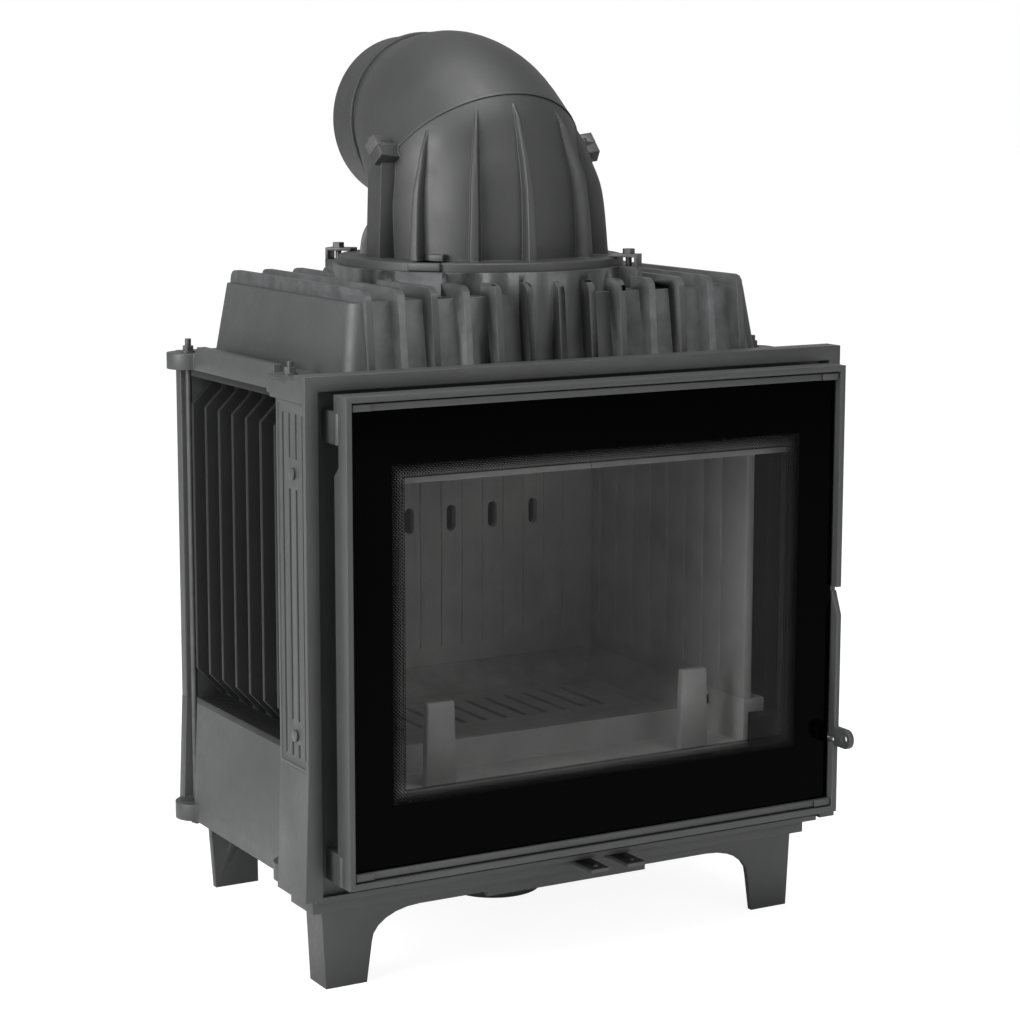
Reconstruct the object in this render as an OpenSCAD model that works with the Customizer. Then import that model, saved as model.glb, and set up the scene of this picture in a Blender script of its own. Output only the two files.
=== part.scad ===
// Cast fireplace insert: firebox on legs, hinged glass door, ribbed dome and turning flue outlet.
// Pieces are drawn from the door's face backwards and from the floor upwards.

/* [Door] */
// Width of the door over its outer rails
door_w = 700; // [660:5:760]
// Height of the door
door_h = 580; // [540:5:640]
// Depth of the door casting
door_depth = 32; // [30:0.5:34]
// Width of the rail round the glass
rail_w = 7.3; // [6:0.1:8]
// Thickness of the web behind the glass
web_t = 9; // [7:0.5:10]
// Depth from the rail's face to the glass
glass_y = 10; // [8:0.5:12]
// Thickness of the glass
glass_t = 4; // [3:0.5:5]
// Thickness of the flat gasket behind the glass
gasket_t = 3; // [2:0.5:4]
// Distance from the door's side edge to the window opening
window_margin = 65; // [55:1:80]
// Distance from the door's lower edge to the window opening
window_sill = 96; // [85:1:110]
// Distance from the window opening to the door's upper edge
window_head = 86; // [75:1:100]

/* [Handle] */
// Height of the handle's shaft above the door's lower edge
shaft_lift = 101; // [95:1:110]
// Radius of the handle's shaft
shaft_r = 5; // [4:0.25:5.5]
// Length of the handle bar above its shaft
bar_len = 189; // [150:1:200]
// Thickness of the handle
bar_t = 7; // [6:0.5:8]
// Distance of the eye's tip in front of the door's face
eye_reach = 35; // [30:1:45]
// Radius of the eye's round end
eye_r = 12.5; // [11:0.5:14]
// Radius of the hole in the eye
eye_hole_r = 5.5; // [4:0.25:7]

/* [Front frame] */
// Gap between the door's edge and the raised rim
rim_gap = 11; // [9:0.5:14]
// Width of the raised rim
rim_w = 17; // [14:0.5:20]
// Depth from the door's face to the rim's face
rim_y = 50; // [48:1:56]
// Depth from the rim's face to the recessed face
rim_step = 20.7; // [16:0.1:24]
// Wall thickness of the castings
wall = 8; // [6:0.5:9]
// Depth from the door's face to the back of the columns
column_back = 129; // [124:1:134]
// Height of the frame's top edge above the door
top_strip = 19.5; // [17:0.5:24]
// Distance that the columns spread at the foot
foot_spread = 6; // [3:0.5:10]

/* [Body] */
// Distance from the door's edge in to the side plane of the body
body_inset = 12; // [10:0.5:14]
// Height of the base above the stands
base_h = 158.4; // [150:0.2:170]
// Distance that the base's sides spread at the foot
base_spread = 7; // [3:0.5:10]
// Depth from the door's face to the rear wall
rear_y = 514; // [500:2:540]
// Depth of the ribs behind the rear wall
rear_rib = 22; // [14:1:30]
// Depth of the cooling fins
fin_depth = 40; // [34:1:44]
// Distance between the cooling fins
fin_pitch = 42.4; // [38:0.2:48]
// Thickness of the cooling fins
fin_t = 6; // [4:0.5:8]
// Thickness of the top plate with its rim
top_plate_t = 20.5; // [18:0.5:24]

/* [Stand] */
// Height of the stands
stand_h = 115; // [105:1:130]
// Height of the stand's flange
flange_h = 16.5; // [14:0.5:20]
// Width of a front leg at the floor
leg_w = 55; // [45:1:65]
// Depth of a front leg
leg_depth = 45; // [35:1:50]

/* [Air] */
// Outer radius of the air inlet
inlet_r = 62.5; // [50:0.5:75]
// Length of the air inlet below the base
inlet_len = 88; // [60:1:95]
// Width of an air lever
lever_w = 26; // [22:1:28]
// Thickness of an air lever
lever_t = 5; // [4:0.5:5.5]
// Distance between the two air levers
lever_pitch = 53; // [48:1:60]

/* [Firebox] */
// Distance from the body's side plane to the lining's inner face
lining_inset = 81; // [76:1:88]
// Thickness of the lining plates
lining_t = 12; // [10:0.5:14]
// Depth from the door's face to the rear lining
lining_y = 459; // [450:1:462]
// Width of the grate
grate_w = 390; // [340:5:400]
// Depth of the grate
grate_d = 152; // [130:2:160]
// Distance between the grate's slots
slot_pitch = 30; // [26:1:34]
// Width of a slot in the grate
slot_w = 9; // [7:0.5:12]
// Height of a log guard
guard_h = 105; // [90:1:120]

/* [Dome and flue] */
// Height of the dome above the top plate
dome_h = 88; // [80:1:96]
// Height of the dome's ribs above its roof
rib_rise = 16; // [12:0.5:20]
// Distance between the dome's ribs
rib_pitch = 44; // [40:1:46]
// Radius of the ring on which the hood turns
ring_r = 190; // [186:1:196]
// Depth from the door's face to the hood's axis
flue_y = 317; // [307:1:327]
// Radius of the hood at its foot
hood_r = 138; // [134:1:142]
// Radius of the seam between hood and elbow
seam_r = 137; // [132:1:140]
// Height of the seam's centre above the hood's flange
seam_rise = 111; // [106:1:116]
// Distance of the seam's centre behind the hood's axis
seam_back = 10; // [6:1:14]
// Outer radius of the flue spigot
spigot_r = 109; // [104:0.5:112]
// Bore radius of the flue spigot
spigot_bore_r = 101; // [96:0.5:104]
// Length of the flue spigot
spigot_len = 65; // [50:1:75]
// Height of the spigot's axis above the hood's flange
spigot_rise = 170; // [165:1:178]

/* [Rods and fits] */
// Radius of the tie rods
rod_r = 4; // [3:0.25:5]
// Radius of the ears round the tie rods
ear_r = 28; // [24:0.5:30]
// Gap between pieces that move past each other
gap = 0.3; // [0.2:0.05:0.5]
// Radial clearance of a pin in its bore
pin_fit = 0.06; // [0.03:0.01:0.1]

/* [Hidden] */
$fn = 64;

// Cuts run past the faces that they open by this much
over = 2;

// Main planes of the body
door_lift = 34;
door_z = stand_h + door_lift;
door_half = door_w / 2;
door_top = door_z + door_h;
rim_in = door_half + rim_gap;
frame_half = rim_in + rim_w;
recess_y = rim_y + rim_step;
frame_back = recess_y + wall;
frame_top = door_top + top_strip;
lip_rise = 4.5;
frame_sill = stand_h + lip_rise;
body_half = door_half - body_inset;
base_top = stand_h + base_h;
top_drop = 14.5;
body_top = door_top - top_drop;
top_z = body_top + top_plate_t;
rear_back = rear_y + wall + rear_rib;
wall_half = body_half - fin_depth;

// Door pocket, web and seal
pocket_half = door_half - rail_w;
web_y = glass_y + glass_t + gasket_t;
web_back = web_y + web_t;
window_half = door_half - window_margin;
window_z0 = door_z + window_sill;
window_z1 = door_top - window_head;
rib_w = 4;
rope_w = 8;
rope_margin = 37;
rope_mid = door_half - rope_margin;
rope_low = 63.5;
rope_z0 = door_z + rope_low;
rope_high = 59.5;
rope_z1 = door_top - rope_high;
rope_proud = 3.7;
rope_back = door_depth + rope_proud;
glass_play = 2;
gasket_in = 4;
bar_front = 4;
bar_h = 8.5;
clip_len = 24;
clip_proud = 2;
glass_half = pocket_half - glass_play;
glass_z0 = door_z + rail_w + glass_play;
glass_z1 = door_top - rail_w - glass_play;

// Hinge on the left edge
hinge_inset = 8;
hinge_x = -door_half + hinge_inset;
hinge_y = 30;
knuckle_r = 7.5;
knuckle_h = 14;
lug_h = 37;
lug_w = 11;
upper_lug_drop = 58;
upper_lug_z = door_top - upper_lug_drop;
lower_lug_drop = 2;
lower_lug_z = door_z - lower_lug_drop;
lug_floor = 5;
notch_side = 0.8;
pin_r = 4;
lift_off = 25;
notch_y = 20.5;
notch_slope = 13;

// Handle and latch on the right edge
shaft_x = door_half - bar_t / 2;
shaft_z = door_z + shaft_lift;
bar_y0 = -2;
bar_depth = 16;
bar_sweep = 5;
bar_back_share = 0.8;
bar_front_share = 0.84;
cut_low = 9;
cut_high = 6;
boss_r = 9;
boss_len = 13;
cam_t = 8;
cam_reach = 11;
keeper_w = 12;
keeper_gap = 2;
keeper_h = 30;
keeper_base = 3;
keeper_y = 34;
keeper_screw_x = 343;
keeper_screw_share = 0.3;
bar_foot = 3;
screw_r = 3;
nut_h = 7;
nut_r = 8;

// Sealing ring of the front frame
ring_wall = 7;
ring_in = rope_mid - ring_wall / 2;
ring_out = rope_mid + ring_wall / 2;
seal_z0 = rope_z0;
seal_z1 = rope_z1;
seal_y = rope_back + gap;
lip_y = 62;
lip_half = 364;

// Columns, pilasters and ears of the front frame
cover_t = 6;
cover_y0 = 54;
cover_z0 = 281.5;
cover_drop = 12;
cover_z1 = door_top - cover_drop;
groove_w = 6;
groove_d = 2.5;
groove_pitch = 18;
groove_end = 14;
pilaster_rim = 1.5;
screw_head_r = 7;
screw_head_t = 3;
screw_low = 321;
screw_high = 632.5;
screw_clear = 18;
short_groove = 16;
pilaster_edge = 4;
cover_mid_y = 86.5;
column_lift = 6.5;
column_z0 = frame_sill + column_lift;
strip_gap = 1.5;
roof_t = 6;
lug_back = 146;
inner_spans = [[cover_z0 + groove_end, cover_z0 + groove_end + short_groove],
    [screw_low + screw_clear, screw_high - screw_clear], [screw_high + screw_clear, cover_z1 - groove_end]];
ear_t = 20;
ear_lift = 2.5;
frame_ear_z = body_top + ear_lift;

// Tie rods
rod_x = body_half - rod_r;
rod_front_y = 183.5;
rod_rear_y = 496.4;
rod_play = 0.5;
rod_hole_r = rod_r + rod_play;
rod_low = 10;
rod_high = 17.6;
washer_t = 2;
washer_r = 9;
nut_t = 6.5;
rod_nut_r = 7.5;
base_ear_h = 22;

// Base
base_floor = 6;
notch_in = 20;
notch_y0 = 205;
notch_y1 = 479;
base_back = rear_y + 2 * wall;
flange_in = 58;
rail_x = 100;
rail_h = 39;
rail_t = 8;
rail_len = 180;
inlet_y = 285;
inlet_wall = 4;
inlet_flange = 12;
port_w = 20;
port_len = 24;
port_y = 192;

// Stands
stand_half = 358.7;
stand_y = 84.8;
stand_back = 146;
flange_t = 6;
lip_t = 7.2;
leg_top_half = 344;
leg_foot_half = 338.5;
arch_top = 88;
arch_rise = 38;
arch_run = 66;
arch_drop = 6.5;
arch_mid_half = 116;
leg_taper = 7;
rear_leg_out = 302;
rear_leg_foot = 294;
rear_leg_in = 232;
rear_leg_y = 529;
rear_leg_t = 10;
rear_apron = 24;
gusset_h = 60;
gusset_d = 40;
bolt_head_r = 8;
bolt_head_t = 5;
front_bolt_y = 120;
rear_bolt_y = 505;
bolt_xs = [120, 250];

// Air levers
lever_x = 12;
lever_y0 = 32;
lever_len = 176;
lever_drop = 0.7;
pip_r = 3;
pip_h = 2.5;
pip_y = 12;
guide_y0 = 150;
guide_len = 58;
guide_side = 7;
guide_t = 5;

// Hearth bed, grate, ash pan and guards
bed_play = 1;
bed_half = wall_half - wall - bed_play;
bed_y0 = frame_back + bed_play;
bed_rear_play = 9;
bed_y1 = rear_y - bed_rear_play;
bed_top = 291;
lining_half = body_half - lining_inset;
basin_floor = 262;
basin_wall_y = 160;
basin_run = 41;
basin_rear_run = 49;
basin_front_top = 270;
ledge_z = 234;
grate_t = 8;
grate_y = 308;
grate_seat = 15;
slot_len = 115;
slot_count = 11;
pan_half = 165;
pan_y0 = 218;
pan_y1 = 398;
pan_h = 72;
pan_t = 2;
guard_x = 184;
guard_w = 43;
guard_top_w = 37;
guard_y = 84;
guard_t = 12;
guard_rib = 10;

// Side and rear castings
fin_y0 = 221.5;
fin_rise = 4;
rear_ribs = 5;
rear_rib_pitch = 56;
rear_grooves = 14;
rear_slots = 6;
disc_t = 0.5;

// Linings, deflectors and baffle
lining_top = 640;
lining_groove_w = 2.5;
lining_groove_d = 2;
rear_groove_pitch = 32.2;
side_groove_pitch = 43;
groove_foot = 25;
rear_slot_w = 14;
rear_slot_h = 36;
rear_slot_z = 493;
deflector_y = 40;
deflector_drop = 48;
deflector_lean = 12;
deflector_t = 7;
seam_gap = 1;
baffle_y = 200;
baffle_t = 10;

// Top plate
plate_t = 8;
flue_hole_half = 262;
flue_hole_y0 = 172;
flue_hole_y1 = 462;
border_in = 12;
border_h = 10;
border_y0 = 222;
border_y1 = 458;
ear_cut_y = 215;
ear_cut_in = 38;

// Dome
dome_half = 295;
dome_top_half = 283;
dome_y0 = 106;
dome_y1 = 514;
dome_lean = 12;
dome_corner = 22;
dome_roof = top_z + dome_h;
rib_top = dome_roof + rib_rise;
rib_t = 9;
rib_count = 13;
rib_proud = 2;
rib_lean = 9;
pocket_d = 18;
pocket_lean = 14;
rib_round = 14;
ring_rise = 12;
ring_z = rib_top + ring_rise;
ring_foot = 8;

// Hood and elbow
hood_flange_inset = 6.5;
hood_flange_t = 10.7;
hood_z = ring_z + gap + hood_flange_t;
hood_rib_proud = 8;
hood_rib_t = 8;
hood_rib_angles = [-120, -60, -30, 0, 30, 60, 120];
pilaster_foot_r = 158;
pilaster_head_r = 151;
pilaster_w = 30;
seam_lip = 0.5;
seam_lip_h = 5;
seam_seat = 4;
seam_y = flue_y + seam_back;
seam_z = hood_z + seam_rise;
seam_tilt = 45;
spigot_z = hood_z + spigot_rise;
elbow_run = 135;
spigot_y = seam_y + elbow_run;
bead_w = 12;
bead_rise = 5;
index_angle = 219;
ring_index_w = 58;
index_t = 8;
hood_index_w = 43;
index_back = 2;
tab_w = 20;
tab_reach = 12;
tab_h = 8;

// Clamps on the collar and clips on the seam
clamp_angles = [312, 132];
clamp_w = 24;
clamp_in = 14;
clamp_out = 22;
clamp_t = 4;
clamp_foot = 16;
clamp_bolt_r = 4;
clamp_bolt_in = 8;
clip_w = 20;
clip_out = 28;
clip_ear = 17;
clip_t = 8;
clip_bolt_r = 2.5;
clip_bolt_head = 4;
clip_bolt_out = 22.5;
clip_grip = 8;
clip_lift = 12;

// The model's own origin lies under the middle of its box
origin_y = -(rear_back - eye_reach) / 2;

// Shared shapes
module at_front() {
    translate([0, origin_y, 0]) children();
}

module block(lo, hi) {
    translate(lo) cube(hi - lo);
}

module both_sides() {
    children();
    mirror([1, 0, 0]) children();
}

module outline_xz(points, y0, y1) {
    translate([0, y1, 0]) rotate([90, 0, 0]) linear_extrude(y1 - y0) polygon(points);
}

module outline_yz(points, x0, x1) {
    translate([x0, 0, 0]) rotate([90, 0, 90]) linear_extrude(x1 - x0) polygon(points);
}

module rod_along_y(r, x, y0, y1, z) {
    translate([x, y1, z]) rotate([90, 0, 0]) cylinder(r = r, h = y1 - y0);
}

module rect_ring(half_out, z_out, half_in, z_in, y0, y1) {
    difference() {
        block([-half_out, y0, z_out[0]], [half_out, y1, z_out[1]]);
        block([-half_in, y0 - over, z_in[0]], [half_in, y1 + over, z_in[1]]);
    }
}

module at_rods() {
    for (side = [-1, 1], y = [rod_front_y, rod_rear_y])
        translate([side * rod_x, y, 0]) children();
}

// Front leg frame with an arched apron
function arch_points(side) = [for (a = [0:15:90])
    [side * (leg_in(1) - arch_run + arch_run * cos(a)), arch_top - arch_rise + arch_rise * sin(a)]];
function leg_in(up) = leg_foot_half - leg_w - leg_taper * up;

module front_stand() {
    flange_z = stand_h - flange_t;
    lip_z = stand_h - flange_h;
    apron_y = stand_y + lip_t;
    right = arch_points(1);
    left = arch_points(-1);
    color("#45474a") at_front() difference() {
        union() {
            block([-stand_half, stand_y, flange_z], [stand_half, stand_back, stand_h]);
            block([-stand_half, stand_y, lip_z], [stand_half, apron_y, stand_h]);
            both_sides() block([stand_half - lip_t, stand_y, lip_z], [stand_half, stand_back, stand_h]);
            outline_xz(concat([[leg_top_half, flange_z], [leg_foot_half, 0], [leg_in(0), 0]], right,
                [[arch_mid_half, arch_top], [arch_mid_half, arch_top - arch_drop],
                [-arch_mid_half, arch_top - arch_drop], [-arch_mid_half, arch_top]],
                [for (i = [len(left) - 1:-1:0]) left[i]],
                [[-leg_in(0), 0], [-leg_foot_half, 0], [-leg_top_half, flange_z]]),
                apron_y, apron_y + wall);
            both_sides() outline_xz([[leg_top_half, flange_z], [leg_foot_half, 0],
                [leg_foot_half - wall, 0], [leg_top_half - wall, flange_z]],
                apron_y, apron_y + leg_depth);
        }
        lever_slots();
        both_sides() for (x = bolt_xs)
            translate([x, front_bolt_y, lip_z]) cylinder(r = rod_hole_r, h = flange_h + over);
    }
}

module lever_slots() {
    for (x = [lever_x, lever_x + lever_pitch])
        block([x - lever_w / 2 - gap, stand_y - over, stand_h - lever_drop - lever_t - gap],
            [x + lever_w / 2 + gap, stand_back + over, stand_h + over]);
}

// Rear legs joined by a flange under the base
module rear_stand() {
    flange_z = stand_h - flange_t;
    leg_y1 = rear_leg_y + rear_leg_t;
    gusset_x = (rear_leg_out + rear_leg_in) / 2;
    color("#3d3f41") at_front() difference() {
        union() {
            block([-rear_leg_out, rear_leg_y - gusset_d, flange_z], [rear_leg_out, leg_y1, stand_h]);
            block([-rear_leg_out, rear_leg_y, stand_h - rear_apron], [rear_leg_out, leg_y1, stand_h]);
            both_sides() outline_xz([[rear_leg_out, flange_z], [rear_leg_foot, 0],
                [rear_leg_in, 0], [rear_leg_in, flange_z]], rear_leg_y, leg_y1);
            both_sides() outline_yz([[rear_leg_y, flange_z], [rear_leg_y, flange_z - gusset_h],
                [rear_leg_y - gusset_d, flange_z]], gusset_x, gusset_x + wall);
        }
        both_sides() for (x = bolt_xs)
            translate([x, rear_bolt_y, flange_z - over]) cylinder(r = rod_hole_r, h = flange_h);
    }
}

// Bolts that hold both stands to the base
module stand_bolts() {
    flange_z = stand_h - flange_t;
    color("#2e2f30") at_front() both_sides() for (x = bolt_xs, y = [front_bolt_y, rear_bolt_y])
        translate([x, y, flange_z - bolt_head_t]) {
            cylinder(r = bolt_head_r, h = bolt_head_t, $fn = 6);
            cylinder(r = rod_r, h = bolt_head_t + flange_t + base_floor);
        }
}

// Base casting that closes the ash space and carries the bed
module base_box() {
    foot_half = body_half + base_spread;
    floor_z = stand_h + base_floor;
    ear_top = stand_h + base_ear_h;
    post_half = body_half - notch_in;
    color("#4b4d50") at_front() difference() {
        union() {
            outline_xz([[-foot_half, stand_h], [foot_half, stand_h], [body_half, base_top],
                [-body_half, base_top]], frame_back, base_back);
            at_rods() translate([0, 0, stand_h]) cylinder(r = ear_r, h = base_ear_h);
        }
        both_sides() {
            block([post_half, frame_back - over, ear_top], [foot_half + ear_r, notch_y0, base_top + over]);
            block([post_half, notch_y1, ear_top], [foot_half + ear_r, rear_y, base_top + over]);
        }
        block([-post_half + wall, frame_back - over, floor_z],
            [post_half - wall, rear_y, base_top - wall]);
        block([-body_half + wall, notch_y0 + wall, ear_top + wall],
            [body_half - wall, notch_y1 - wall, base_top - wall]);
        block([-body_half + flange_in, frame_back - over, floor_z],
            [body_half - flange_in, bed_y1 - wall, base_top + over]);
        at_rods() translate([0, 0, stand_h - over]) cylinder(r = rod_hole_r, h = base_h);
        translate([0, inlet_y, stand_h - over]) cylinder(r = inlet_r - inlet_wall, h = base_ear_h);
        for (x = [lever_x, lever_x + lever_pitch])
            block([x - port_w / 2, port_y - port_len / 2, stand_h - over],
                [x + port_w / 2, port_y + port_len / 2, floor_z + over]);
        both_sides() for (x = bolt_xs, y = [front_bolt_y, rear_bolt_y])
            translate([x, y, stand_h - over]) cylinder(r = rod_hole_r, h = base_ear_h);
    }
    color("#4b4d50") at_front() both_sides()
        block([rail_x, inlet_y - rail_len / 2, floor_z],
            [rail_x + rail_t, inlet_y + rail_len / 2, floor_z + rail_h]);
}

// Round inlet for outside air
module inlet_spigot() {
    color("#3a3b3d") at_front() translate([0, inlet_y, stand_h - inlet_len]) difference() {
        union() {
            cylinder(r = inlet_r, h = inlet_len);
            translate([0, 0, inlet_len - inlet_wall])
                cylinder(r = inlet_r + inlet_flange, h = inlet_wall);
        }
        translate([0, 0, -over]) cylinder(r = inlet_r - inlet_wall, h = inlet_len + 2 * over);
    }
}

// Guide under the base in which both levers slide
module air_guide() {
    lever_z = stand_h - lever_drop - lever_t - gap;
    color("#3a3b3d") at_front() difference() {
        block([lever_x - lever_w / 2 - guide_side, guide_y0, lever_z - guide_t],
            [lever_x + lever_pitch + lever_w / 2 + guide_side, guide_y0 + guide_len, stand_h]);
        for (x = [lever_x, lever_x + lever_pitch])
            block([x - lever_w / 2 - gap, guide_y0 - over, lever_z],
                [x + lever_w / 2 + gap, guide_y0 + guide_len + over, stand_h + over]);
    }
}

module air_lever(x) {
    lever_z = stand_h - lever_drop - lever_t;
    translate([x, lever_y0, lever_z]) {
        difference() {
            translate([-lever_w / 2, 0, 0]) cube([lever_w, lever_len, lever_t]);
            translate([0, lever_len, -over]) cylinder(r = port_w / 4, h = lever_t + 2 * over);
        }
        translate([0, pip_y, lever_t]) cylinder(r = pip_r, h = pip_h);
    }
}

module primary_air_lever() {
    color("#3b3c3e") at_front() air_lever(lever_x);
}

module secondary_air_lever() {
    color("#3b3c3e") at_front() air_lever(lever_x + lever_pitch);
}

// Cast bed with sloping sides, a front ledge and the seat of the grate
module basin(extra, top, floor_z) {
    foot_half = lining_half - basin_run + extra;
    foot_y1 = lining_y - basin_rear_run + extra;
    hull() {
        block([-lining_half - extra, basin_wall_y - extra, top - disc_t],
            [lining_half + extra, lining_y + extra, top]);
        block([-foot_half, basin_wall_y - extra, floor_z], [foot_half, foot_y1, floor_z + disc_t]);
    }
}

module hearth_bed() {
    under = base_top + wall;
    color("#5a5b5d") at_front() difference() {
        union() {
            difference() {
                block([-bed_half, bed_y0, base_top], [bed_half, bed_y1, bed_top]);
                block([-bed_half + wall, bed_y0 + wall, base_top - over],
                    [bed_half - wall, bed_y1 - wall, under]);
            }
            basin(wall, bed_top, basin_floor - wall - grate_t);
            block([-lining_half - wall, bed_y0, ledge_z - wall], [lining_half + wall, basin_wall_y, bed_top]);
        }
        basin(0, bed_top + over, basin_floor);
        block([-lining_half, bed_y0 - over, ledge_z], [lining_half, basin_wall_y - wall, bed_top + over]);
        block([-lining_half, basin_wall_y - wall - over, basin_front_top],
            [lining_half, basin_wall_y + over, bed_top + over]);
        block([-grate_w / 2 - gap, grate_y - grate_d / 2 - gap, basin_floor - grate_t],
            [grate_w / 2 + gap, grate_y + grate_d / 2 + gap, bed_top]);
        block([-grate_w / 2 + grate_seat, grate_y - grate_d / 2 + grate_seat, ledge_z - over],
            [grate_w / 2 - grate_seat, grate_y + grate_d / 2 - grate_seat, bed_top]);
    }
}

// Loose grate with long slots from front to back
module grate() {
    color("#57585a") at_front() translate([0, grate_y, basin_floor - grate_t]) difference() {
        translate([-grate_w / 2, -grate_d / 2, 0]) cube([grate_w, grate_d, grate_t]);
        for (i = [0:slot_count - 1])
            translate([(i - (slot_count - 1) / 2) * slot_pitch, 0, -over]) slot_cut();
    }
}

module slot_cut() {
    straight = slot_len - slot_w;
    translate([-slot_w / 2, -straight / 2, 0]) cube([slot_w, straight, grate_t + 2 * over]);
    for (side = [-1, 1])
        translate([0, side * straight / 2, 0]) cylinder(r = slot_w / 2, h = grate_t + 2 * over);
}

module ash_pan() {
    pan_z = stand_h + base_floor + rail_h;
    color("#3c3d3f") at_front() difference() {
        block([-pan_half, pan_y0, pan_z], [pan_half, pan_y1, pan_z + pan_h]);
        block([-pan_half + pan_t, pan_y0 + pan_t, pan_z + pan_t],
            [pan_half - pan_t, pan_y1 - pan_t, pan_z + pan_h + over]);
    }
}

// Tapered post that keeps logs away from the glass
module log_guard() {
    translate([guard_x, 0, 0]) {
        outline_xz([[-guard_w / 2, ledge_z], [guard_w / 2, ledge_z],
            [guard_top_w / 2, ledge_z + guard_h], [-guard_top_w / 2, ledge_z + guard_h]],
            guard_y, guard_y + guard_t);
        outline_yz([[guard_y + guard_t, ledge_z], [guard_y + guard_t + guard_w / 2, ledge_z],
            [guard_y + guard_t, ledge_z + guard_h]], -guard_rib / 2, guard_rib / 2);
    }
}

module log_guard_left() {
    color("#626365") at_front() mirror([1, 0, 0]) log_guard();
}

module log_guard_right() {
    color("#626365") at_front() log_guard();
}

// Front frame: raised rim, recessed face, sealing ring, columns, hinge lugs and upper ears
module front_frame() {
    color("#515356") at_front() difference() {
        union() {
            frame_rim();
            frame_face();
            both_sides() frame_ear();
            for (z = [upper_lug_z, lower_lug_z]) hinge_lug(z);
        }
        both_sides() block([frame_half - cover_t, cover_y0, cover_z0],
            [frame_half + over, column_back + over, cover_z1]);
        block([-ring_in, seal_y - over, seal_z0 + ring_wall / 2],
            [ring_in, frame_back + over, seal_z1 - ring_wall / 2]);
        both_sides() translate([rod_x, rod_front_y, frame_ear_z - over])
            cylinder(r = rod_hole_r, h = ear_t + 2 * over);
        both_sides() for (z = [screw_low, screw_high]) side_bore(z);
        for (z = [-1, 1])
            rod_along_y(screw_r, keeper_screw_x, recess_y - over, frame_back + over,
                shaft_z + z * keeper_h * keeper_screw_share);
    }
}

module side_bore(z) {
    translate([frame_half - cover_t - wall - over, cover_mid_y, z]) rotate([0, 90, 0])
        cylinder(r = screw_r, h = cover_t + wall + 2 * over);
}

module frame_rim() {
    both_sides() {
        outline_xz([[rim_in, column_z0], [frame_half + foot_spread, column_z0],
            [frame_half, cover_z0], [frame_half, frame_top], [rim_in, frame_top]], rim_y, frame_back);
        outline_xz([[frame_half - wall, column_z0], [frame_half + foot_spread, column_z0],
            [frame_half, cover_z0], [frame_half - wall, cover_z0]], rim_y, column_back);
        block([frame_half - cover_t - wall, rim_y, cover_z0 - wall],
            [frame_half - cover_t, column_back, cover_z1 + wall]);
        block([frame_half - cover_t - wall, rim_y, cover_z1],
            [frame_half, column_back, frame_ear_z + ear_t]);
    }
    block([-frame_half, rim_y, door_top + strip_gap], [frame_half, frame_back, frame_top]);
    block([-frame_half, rim_y, top_z], [frame_half, dome_y0 - rib_proud - strip_gap, top_z + roof_t]);
}

module frame_face() {
    block([-rim_in, recess_y, column_z0], [rim_in, frame_back, door_top + strip_gap]);
    block([-lip_half, lip_y, frame_sill], [lip_half, frame_back, column_z0]);
    rect_ring(ring_out, [seal_z0 - ring_wall / 2, seal_z1 + ring_wall / 2],
        ring_in, [seal_z0 + ring_wall / 2, seal_z1 - ring_wall / 2], seal_y, frame_back);
}

module frame_ear() {
    translate([rod_x, rod_front_y, frame_ear_z]) cylinder(r = ear_r, h = ear_t);
    block([rod_x - ear_r, frame_back, frame_ear_z], [rod_x + ear_r, rod_front_y, frame_ear_z + ear_t]);
    block([rod_x, frame_back, frame_ear_z], [frame_half, lug_back, frame_ear_z + ear_t]);
}

module hinge_lug(z) {
    translate([hinge_x, hinge_y, z]) difference() {
        union() {
            cylinder(r = knuckle_r, h = lug_h);
            translate([-lug_w / 2, 0, 0]) cube([lug_w, recess_y - hinge_y, lug_h]);
        }
        translate([0, 0, lug_floor]) cylinder(r = pin_r, h = lug_h);
    }
}

// Keeper that the latch cam meets
module latch_keeper() {
    x1 = shaft_x - cam_reach - keeper_gap;
    z0 = shaft_z - keeper_h / 2;
    color("#3b3c3e") at_front() difference() {
        union() {
            block([x1 - keeper_w, keeper_y, z0], [x1, recess_y, z0 + keeper_h]);
            block([x1 - keeper_w, recess_y - keeper_base, z0], [door_half, recess_y, z0 + keeper_h]);
        }
        for (z = [-1, 1])
            rod_along_y(screw_r, keeper_screw_x, keeper_y, recess_y + over,
                shaft_z + z * keeper_h * keeper_screw_share);
    }
}

module keeper_screws() {
    color("#2e2f30") at_front() for (z = [-1, 1]) {
        place_z = shaft_z + z * keeper_h * keeper_screw_share;
        rod_along_y(screw_r, keeper_screw_x, recess_y - keeper_base, frame_back, place_z);
        rod_along_y(screw_r + screw_head_t / 2, keeper_screw_x, recess_y - keeper_base - screw_head_t,
            recess_y - keeper_base, place_z);
    }
}

// Pins on which the door swings
module hinge_pins() {
    color("#6a6b6c") at_front() for (z = [upper_lug_z, lower_lug_z])
        translate([hinge_x, hinge_y, z + lug_floor])
            cylinder(r = pin_r, h = lug_h - lug_floor + gap + knuckle_h);
}

// Grooved cover on the side of a column
module pilaster() {
    x1 = frame_half;
    z0 = cover_z0 + gap;
    z1 = cover_z1 - gap;
    difference() {
        block([x1 - cover_t, cover_y0, z0], [x1, column_back, z1]);
        block([x1 - pilaster_rim, cover_y0 + pilaster_edge, z0 + pilaster_edge],
            [x1 + over, column_back - pilaster_edge, z1 - pilaster_edge]);
        for (i = [0:3]) {
            y = cover_mid_y + (i - 3 / 2) * groove_pitch;
            inner = i == 1 || i == 2;
            for (span = inner ? inner_spans : [[z0 + groove_end, z1 - groove_end]])
                block([x1 - pilaster_rim - groove_d, y - groove_w / 2, span[0]],
                    [x1 + over, y + groove_w / 2, span[1]]);
        }
        for (z = [screw_low, screw_high]) side_bore(z);
    }
}

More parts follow.
